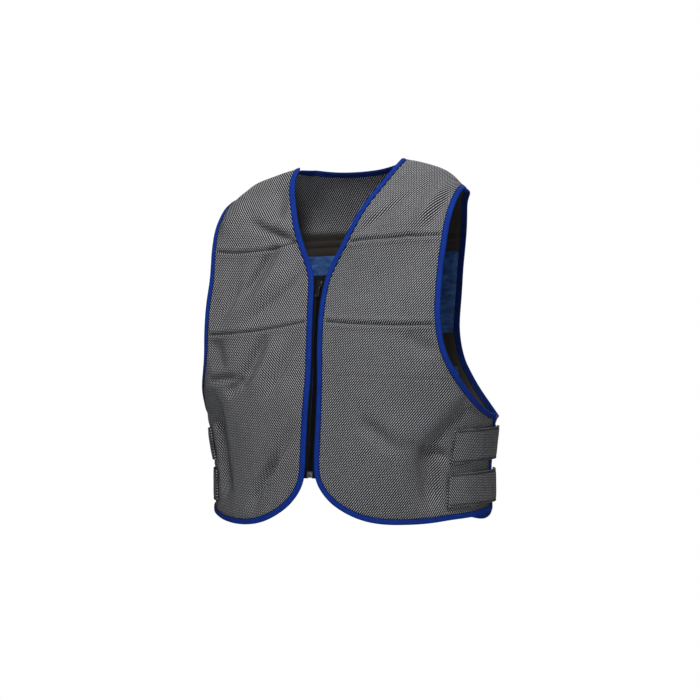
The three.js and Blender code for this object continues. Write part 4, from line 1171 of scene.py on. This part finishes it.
class VEST_OT_straps(bpy.types.Operator):
    """Make the mesh-covered side straps with their stitching"""

    bl_idname = "vest.straps"
    bl_label = "Side straps"

    def execute(self, context):
        for node in STRAPS:
            self.make(node)
        return {"FINISHED"}

    def make(self, node):
        s = sizes()
        bm = outer_sheet(node)
        keep_corners(bm)
        obj = object_from(bm, f"{node}_band")
        unwrap(obj)
        apply_modifier(obj, "SUBSURF", levels=4, render_levels=4, boundary_smooth="PRESERVE_CORNERS")
        settle_cloth(obj)
        co = places(obj)
        normals = normals_of(obj)
        from_edge = distances(co, co[open_edge(obj)])
        crown = s.strap_crown * smooth(*STRAP_CROWNS, from_edge)
        channel = -CHANNEL_DEPTH * bell(from_edge - CHANNEL_INSET, CHANNEL_WIDTH)
        gather = unevenness(co, RUCK_LENGTH, 4, RUCK_STRETCH)
        ruck = RUCK_HEIGHT * gather * smooth(*RUCK_START, from_edge)
        move_to(obj, co + normals * (crown + channel + ruck - STRAP_SINK)[:, None])
        # Painted shade along the stitched channel, for the mesh's colour
        keep_value(obj, "press", bell(from_edge - CHANNEL_SHADE_INSET, CHANNEL_SHADE_WIDTH))
        lines = self.sewing_lines(obj)
        apply_modifier(obj, "SOLIDIFY", thickness=s.strap_wall, offset=-1.0, use_even_offset=False)
        apply_modifier(obj, "BEVEL", width=0.7 * MM, segments=2, limit_method="ANGLE",
                       angle_limit=math.radians(55))
        soften(obj)
        hand = node.rsplit("_", 1)[-1]
        weave = "mesh_climbing_left" if hand == "left" else "mesh_climbing_right"
        dress(obj, weave, replaced=(node,))
        for key, stitches in lines.items():
            seam = object_from(stitches, f"{node}_{key}")
            dress(seam, key)

    def sewing_lines(self, obj):
        """Dark rows along the long edges and light bars across the ends."""
        co = places(obj)
        normals = normals_of(obj)
        loop = boundary_loops(obj)[0]
        ring = co[loop]
        step = unit_rows(np.roll(ring, -1, 0) - np.roll(ring, 1, 0))
        level = np.abs(step[:, 2]) < LEVEL_STEP
        tree = tree_of(co)
        made = {row.thread: bmesh.new() for row in SEWING}
        for row in SEWING:
            for run in self.runs(level == row.level):
                ids = [loop[i] for i in run]
                if len(ids) < LEAST_ROW:
                    continue
                up = normals[ids]
                inward = np.cross(up, unit_rows(np.gradient(co[ids], axis=0)))
                middle = len(ids) // 2
                if leads_off(tree, co[ids[middle]], inward[middle], ROW_PROBE):
                    inward = -inward
                line = co[ids] + inward * row.inset * MM
                settled = np.array([self.settle(tree, co, normals, place) for place in line])
                sew_along(made[row.thread], settled, up, 1.0 if row.level else BAR_STOUT)
        return made

    def runs(self, flags):
        """Runs of neighbouring indices round a ring where the flag holds."""
        count = len(flags)
        if flags.all():
            return [list(range(count))]
        start = next(i for i in range(count) if flags[i] and not flags[i - 1])
        runs = []
        run = []
        for k in range(count + 1):
            i = (start + k) % count
            if flags[i] and k < count:
                run.append(i)
            elif run:
                runs.append(run)
                run = []
        return runs

    def settle(self, tree, co, normals, point):
        """Puts a place on the sheet next to it."""
        _, index, _ = tree.find(point)
        up = normals[index]
        return point - up * float(np.dot(point - co[index], up)) + up * 0.12 * MM


class VEST_OT_pads(bpy.types.Operator):
    """Make the blue cooling pads inside the back"""

    bl_idname = "vest.pads"
    bl_label = "Cooling pads"

    def execute(self, context):
        for number, node in enumerate(PADS):
            self.make(node, number)
        return {"FINISHED"}

    def make(self, node, number):
        s = sizes()
        bm = merged_copy(node)
        join_pairs(bm, SHARP)
        obj = object_from(bm, f"{node}_pillow")
        self.lay_flat(obj)
        apply_modifier(obj, "SUBSURF", levels=4, render_levels=4)
        settle_cloth(obj)
        co = self.widened(places(obj), PAD_MOST[node])
        move_to(obj, co)
        normals = normals_of(obj)
        low, high = Vector(co.min(0)), Vector(co.max(0))
        across = np.abs(co[:, 0] - (low.x + high.x) / 2) / ((high.x - low.x) / 2)
        down = np.abs(co[:, 2] - (low.z + high.z) / 2) / ((high.z - low.z) / 2)
        inside = smooth(0.0, PAD_RIM_ACROSS, 1.0 - across) * smooth(0.0, PAD_RIM_DOWN, 1.0 - down)
        faces_in = smooth(0.0, 0.5, -normals[:, 1])
        crinkles = unevenness(co, SOFT_CRINKLE, 6 + number, SOFT_STRETCH)
        creases = 1.0 - np.abs(unevenness(co, CREASE, 11 + number, CREASE_STRETCH))
        rise = s.crinkle * (0.8 * crinkles + 1.1 * (creases - 0.75))
        puckers = PAD_PUCKER * unevenness(co, PUCKER_LENGTH, 16 + number) * (1.0 - inside)
        move_to(obj, co + normals * ((rise * inside + puckers) * faces_in)[:, None])
        soften(obj)
        dress(obj, "pad", replaced=(node,))

    def widened(self, co, limit):
        """The pad's places, drawn out to the armhole tapes and kept at their distance from the back."""
        bm = bmesh.new()
        bm.from_mesh(bpy.data.objects["back_panel_cloth"].data)
        back = BVHTree.FromBMesh(bm)
        bm.free()
        heights = np.linspace(co[:, 2].min(), co[:, 2].max(), PAD_ROWS)
        rows = np.clip(np.searchsorted(heights, co[:, 2]), 1, PAD_ROWS - 1)
        moved = co.copy()
        for hand, side in (("left", 1.0), ("right", -1.0)):
            tape = f"back_armhole_binding_{hand}"
            edge = np.concatenate([run["path"] for run in edge_runs if run["name"] == tape])
            edge = edge[np.argsort(edge[:, 2])]
            mine = co[:, 0] * side > 0.0
            half = np.array([np.abs(co[mine & (rows == r), 0]).max(initial=0.0) for r in range(PAD_ROWS)])
            most = half.max()
            half = np.maximum(half[rows], PAD_NARROWEST * most)
            target = np.interp(co[:, 2], edge[:, 2], np.abs(edge[:, 0])) - PAD_MARGIN
            target = np.minimum(target, limit * most)
            moved[mine, 0] = (co[:, 0] / half * target)[mine]
        for i, (old, new) in enumerate(zip(co, moved)):
            was = back.ray_cast(Vector((old[0], 0.0, old[2])), Vector((0.0, 1.0, 0.0)))[0]
            now = back.ray_cast(Vector((new[0], 0.0, new[2])), Vector((0.0, 1.0, 0.0)))[0]
            if was is not None and now is not None:
                moved[i, 1] += now.y - was.y
        return moved

    def lay_flat(self, obj):
        """UV map in metres: across and up the pad."""
        layer = obj.data.uv_layers.new(name="Cloth")
        corner = np.zeros(len(obj.data.loops), int)
        obj.data.loops.foreach_get("vertex_index", corner)
        co = places(obj)[corner]
        layer.data.foreach_set("uv", co[:, [0, 2]].ravel())


class VEST_OT_zip(bpy.types.Operator):
    """Make the zip: tapes, coil, slider, pull and bottom box"""

    bl_idname = "vest.zip"
    bl_label = "Zip"

    def execute(self, context):
        for node in ("zip_tape_left", "zip_tape_right"):
            self.tape(node)
        self.coil("zip_chain")
        self.cast("zip_slider", "enamel", "zip_slider_paint", BODY, 0.35 * MM)
        self.cast("zip_pull", "enamel", "zip_slider_paint", "pull", 0.25 * MM)
        self.cast("zip_bottom_box", "metal", "zip_box_metal", BODY, 0.4 * MM)
        return {"FINISHED"}

    def tape(self, node):
        bm = outer_sheet(node)
        keep_corners(bm)
        top = max(v.co.z for v in bm.verts)
        for vert in bm.verts:
            if vert.co.z > top - TAPE_END:
                vert.co.z += TAPE_END
        obj = object_from(bm, f"{node}_weave")
        apply_modifier(obj, "SUBSURF", levels=2, render_levels=2, boundary_smooth="PRESERVE_CORNERS")
        apply_modifier(obj, "SOLIDIFY", thickness=1.0 * MM, offset=-1.0)
        apply_modifier(obj, "BEVEL", width=0.3 * MM, segments=2, limit_method="ANGLE")
        soften(obj, 40)
        dress(obj, "zip_cloth", replaced=(node,))

    def centre_line(self, node):
        """Middle of the chain's cross-sections, from the top down."""
        points = sorted({tuple(round(c, 6) for c in v.co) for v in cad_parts[node].data.vertices},
                        key=lambda p: -p[2])
        rows = [points[i:i + 4] for i in range(0, len(points), 4)]
        return np.array([np.mean(row, axis=0) for row in rows])

    def tooth(self):
        """One turn of the coil, lying across the zip."""
        bpy.ops.object.select_all(action="DESELECT")
        bpy.ops.mesh.primitive_cylinder_add(
            vertices=8, radius=COIL_RADIUS, depth=COIL_WIDTH, rotation=(0.0, math.pi / 2, 0.0))
        obj = bpy.context.object
        bpy.ops.object.transform_apply(location=False, rotation=True, scale=False)
        bpy.ops.object.mode_set(mode="EDIT")
        bpy.ops.mesh.select_all(action="SELECT")
        bpy.ops.transform.resize(value=(1.0, COIL_DEEPER, 1.0))
        bpy.ops.mesh.bevel(offset=COIL_BEVEL, segments=1)
        bpy.ops.object.mode_set(mode="OBJECT")
        return obj

    def coil(self, node):
        tooth = self.tooth()
        line = self.centre_line(node)
        length = length_along(line)
        pitch = sizes().tooth_pitch
        bm = bmesh.new()
        right = Vector((1.0, 0.0, 0.0))
        for i in range(int(length[-1] / pitch)):
            at = (i + 0.5) * pitch
            place = Vector(row_at(at, length, line))
            if at + LOOK_AHEAD < length[-1]:
                up = (place - Vector(row_at(at + LOOK_AHEAD, length, line))).normalized()
            out = right.cross(up).normalized()
            turn = Matrix((right, out, up)).transposed().to_4x4()
            shift = Matrix.Translation(place + right * (COIL_SIDE if i % 2 else -COIL_SIDE))
            copy = tooth.data.copy()
            copy.transform(shift @ turn)
            bm.from_mesh(copy)
            bpy.data.meshes.remove(copy)
        bpy.data.objects.remove(tooth)
        self.backing(bm, line)
        obj = object_from(bm, "zip_coil")
        soften(obj, 45)
        dress(obj, "coil", replaced=(node,))

    def backing(self, bm, line):
        """Strip behind the coil, up to the ends of the tapes."""
        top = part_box("zip_tape_left")[1].z + TAPE_END - BACKING_BEHIND
        line = np.vstack([(line[0][0], line[0][1] + BACKING_LEAN, top), line])
        corners = (
            (-BACKING_HALF, 0.0), (BACKING_HALF, 0.0),
            (BACKING_HALF, BACKING_WALL), (-BACKING_HALF, BACKING_WALL))
        rings = [[bm.verts.new((x + a, y + BACKING_BEHIND + b, z)) for a, b in corners] for x, y, z in line]
        tube(bm, [ring[::-1] for ring in rings])

    def cast(self, node, key, slot, body, radius):
        """A cast piece: the frame's own form with rounded edges."""
        obj = object_from(merged_copy(node), f"{node}_casting")
        select_only(obj)
        bpy.ops.object.mode_set(mode="EDIT")
        bpy.ops.mesh.select_all(action="SELECT")
        bpy.ops.mesh.tris_convert_to_quads(face_threshold=math.radians(1.0), shape_threshold=math.pi)
        bpy.ops.mesh.dissolve_limited(angle_limit=math.radians(1.0))
        bpy.ops.object.mode_set(mode="OBJECT")
        apply_modifier(obj, "BEVEL", width=radius, segments=3, limit_method="ANGLE",
                       angle_limit=math.radians(30))
        soften(obj, 35)
        dress(obj, key, body=body, replaced=(node,))


# Camera: the photograph's azimuth, elevation and roll, and its distance from the target
VIEW = {"azimuth": 22.45, "elevation": 1.13, "roll": 0.65, "distance": 2.95, "lens": 97.25}
TARGET = Vector((0.0, 0.0, -0.2824))
FRAME_SHIFT = -1.27 / 700.0
FLOOR_DROP = 0.6
FLOOR_RADIUS = 1.3
SOFT_LIGHT = 0.12

# Lights: place and size in metres, power in watts
Light = namedtuple("Light", "name place size power colour")
LIGHTS = (
    Light("key", (0.42, -1.25, 1.45), 0.45, 33.5, (1.0, 0.99, 0.97)),
    Light("fill", (1.3, -2.6, 0.2), 1.4, 13.0, (0.93, 0.96, 1.0)),
    Light("top", (0.2, -0.3, 2.2), 1.2, 4.0, (0.95, 0.97, 1.0)),
    Light("back", (-0.6, 2.3, 1.3), 1.2, 52.0, (1.0, 0.99, 0.98)),
)


class VEST_OT_stage(bpy.types.Operator):
    """Set up the pale floor, the soft lights and the camera"""

    bl_idname = "vest.stage"
    bl_label = "Stage"

    def execute(self, context):
        self.floor()
        self.sky(context)
        for light in LIGHTS:
            self.light(light)
        self.camera(context)
        context.scene.view_settings.view_transform = "Standard"
        return {"FINISHED"}

    def floor(self):
        bpy.ops.object.select_all(action="DESELECT")
        bpy.ops.mesh.primitive_circle_add(
            vertices=96, radius=FLOOR_RADIUS, fill_type="NGON",
            location=(0.0, 0.0, CAD_BOX[0].z - FLOOR_DROP))
        obj = bpy.context.object
        obj.name = "floor"
        shader = Shader("floor")
        grain = shader.cloud(3.0, 4.0)
        tone = shader.blend(grain, tint("floor", 0.98), tint("floor"))
        obj.data.materials.append(shader.finish(Base_Color=tone, Roughness=0.9))

    def sky(self, context):
        """White all round, which lights the vest more softly than it looks."""
        world = bpy.data.worlds.new("studio")
        context.scene.world = world
        world.use_nodes = True
        tree = world.node_tree
        background = tree.nodes["Background"]
        background.inputs["Color"].default_value = (1.0, 1.0, 1.0, 1.0)
        path = tree.nodes.new("ShaderNodeLightPath")
        strength = tree.nodes.new("ShaderNodeMapRange")
        strength.inputs["To Min"].default_value = SOFT_LIGHT
        strength.inputs["To Max"].default_value = 1.0
        tree.links.new(path.outputs["Is Camera Ray"], strength.inputs["Value"])
        tree.links.new(strength.outputs["Result"], background.inputs["Strength"])

    def light(self, light):
        data = bpy.data.lights.new(light.name, "AREA")
        data.size = light.size
        data.energy = light.power
        data.color = light.colour
        obj = bpy.data.objects.new(light.name, data)
        obj.location = light.place
        obj.rotation_euler = (TARGET - Vector(light.place)).to_track_quat("-Z", "Y").to_euler()
        bpy.context.scene.collection.objects.link(obj)

    def camera(self, context):
        data = bpy.data.cameras.new("camera")
        data.lens = VIEW["lens"]
        data.shift_x = FRAME_SHIFT
        obj = bpy.data.objects.new("camera", data)
        a, e = math.radians(VIEW["azimuth"]), math.radians(VIEW["elevation"])
        back = Vector((math.sin(a) * math.cos(e), -math.cos(a) * math.cos(e), math.sin(e)))
        obj.location = TARGET + back * VIEW["distance"]
        turn = back.to_track_quat("Z", "Y").to_matrix() @ Matrix.Rotation(-math.radians(VIEW["roll"]), 3, "Z")
        obj.rotation_euler = turn.to_euler()
        context.scene.collection.objects.link(obj)
        context.scene.camera = obj


OPERATORS = (
    VEST_OT_panels,
    VEST_OT_bindings,
    VEST_OT_straps,
    VEST_OT_pads,
    VEST_OT_zip,
    VEST_OT_stage,
)


class VEST_PT_build(bpy.types.Panel):
    """Makes the vest piece by piece"""

    bl_idname = "VEST_PT_build"
    bl_label = "Cooling Vest"
    bl_space_type = "VIEW_3D"
    bl_region_type = "UI"
    bl_category = "Vest"

    def draw(self, context):
        for operator in OPERATORS:
            self.layout.operator(operator.bl_idname)
        for group in (context.scene.vest_sizes, context.scene.vest_colours):
            column = self.layout.column()
            for key in group.bl_rna.properties.keys():
                if key not in ("rna_type", "name"):
                    column.prop(group, key)


CLASSES = (VestSizes, VestColours, *OPERATORS, VEST_PT_build)


def register():
    for cls in CLASSES:
        bpy.utils.register_class(cls)
    bpy.types.Scene.vest_sizes = bpy.props.PointerProperty(type=VestSizes)
    bpy.types.Scene.vest_colours = bpy.props.PointerProperty(type=VestColours)


def unregister():
    del bpy.types.Scene.vest_colours
    del bpy.types.Scene.vest_sizes
    for cls in reversed(CLASSES):
        bpy.utils.unregister_class(cls)


def main():
    register()
    bpy.ops.vest.panels()
    bpy.ops.vest.bindings()
    bpy.ops.vest.straps()
    bpy.ops.vest.pads()
    bpy.ops.vest.zip()
    bpy.ops.vest.stage()


if __name__ == "__main__":
    main()
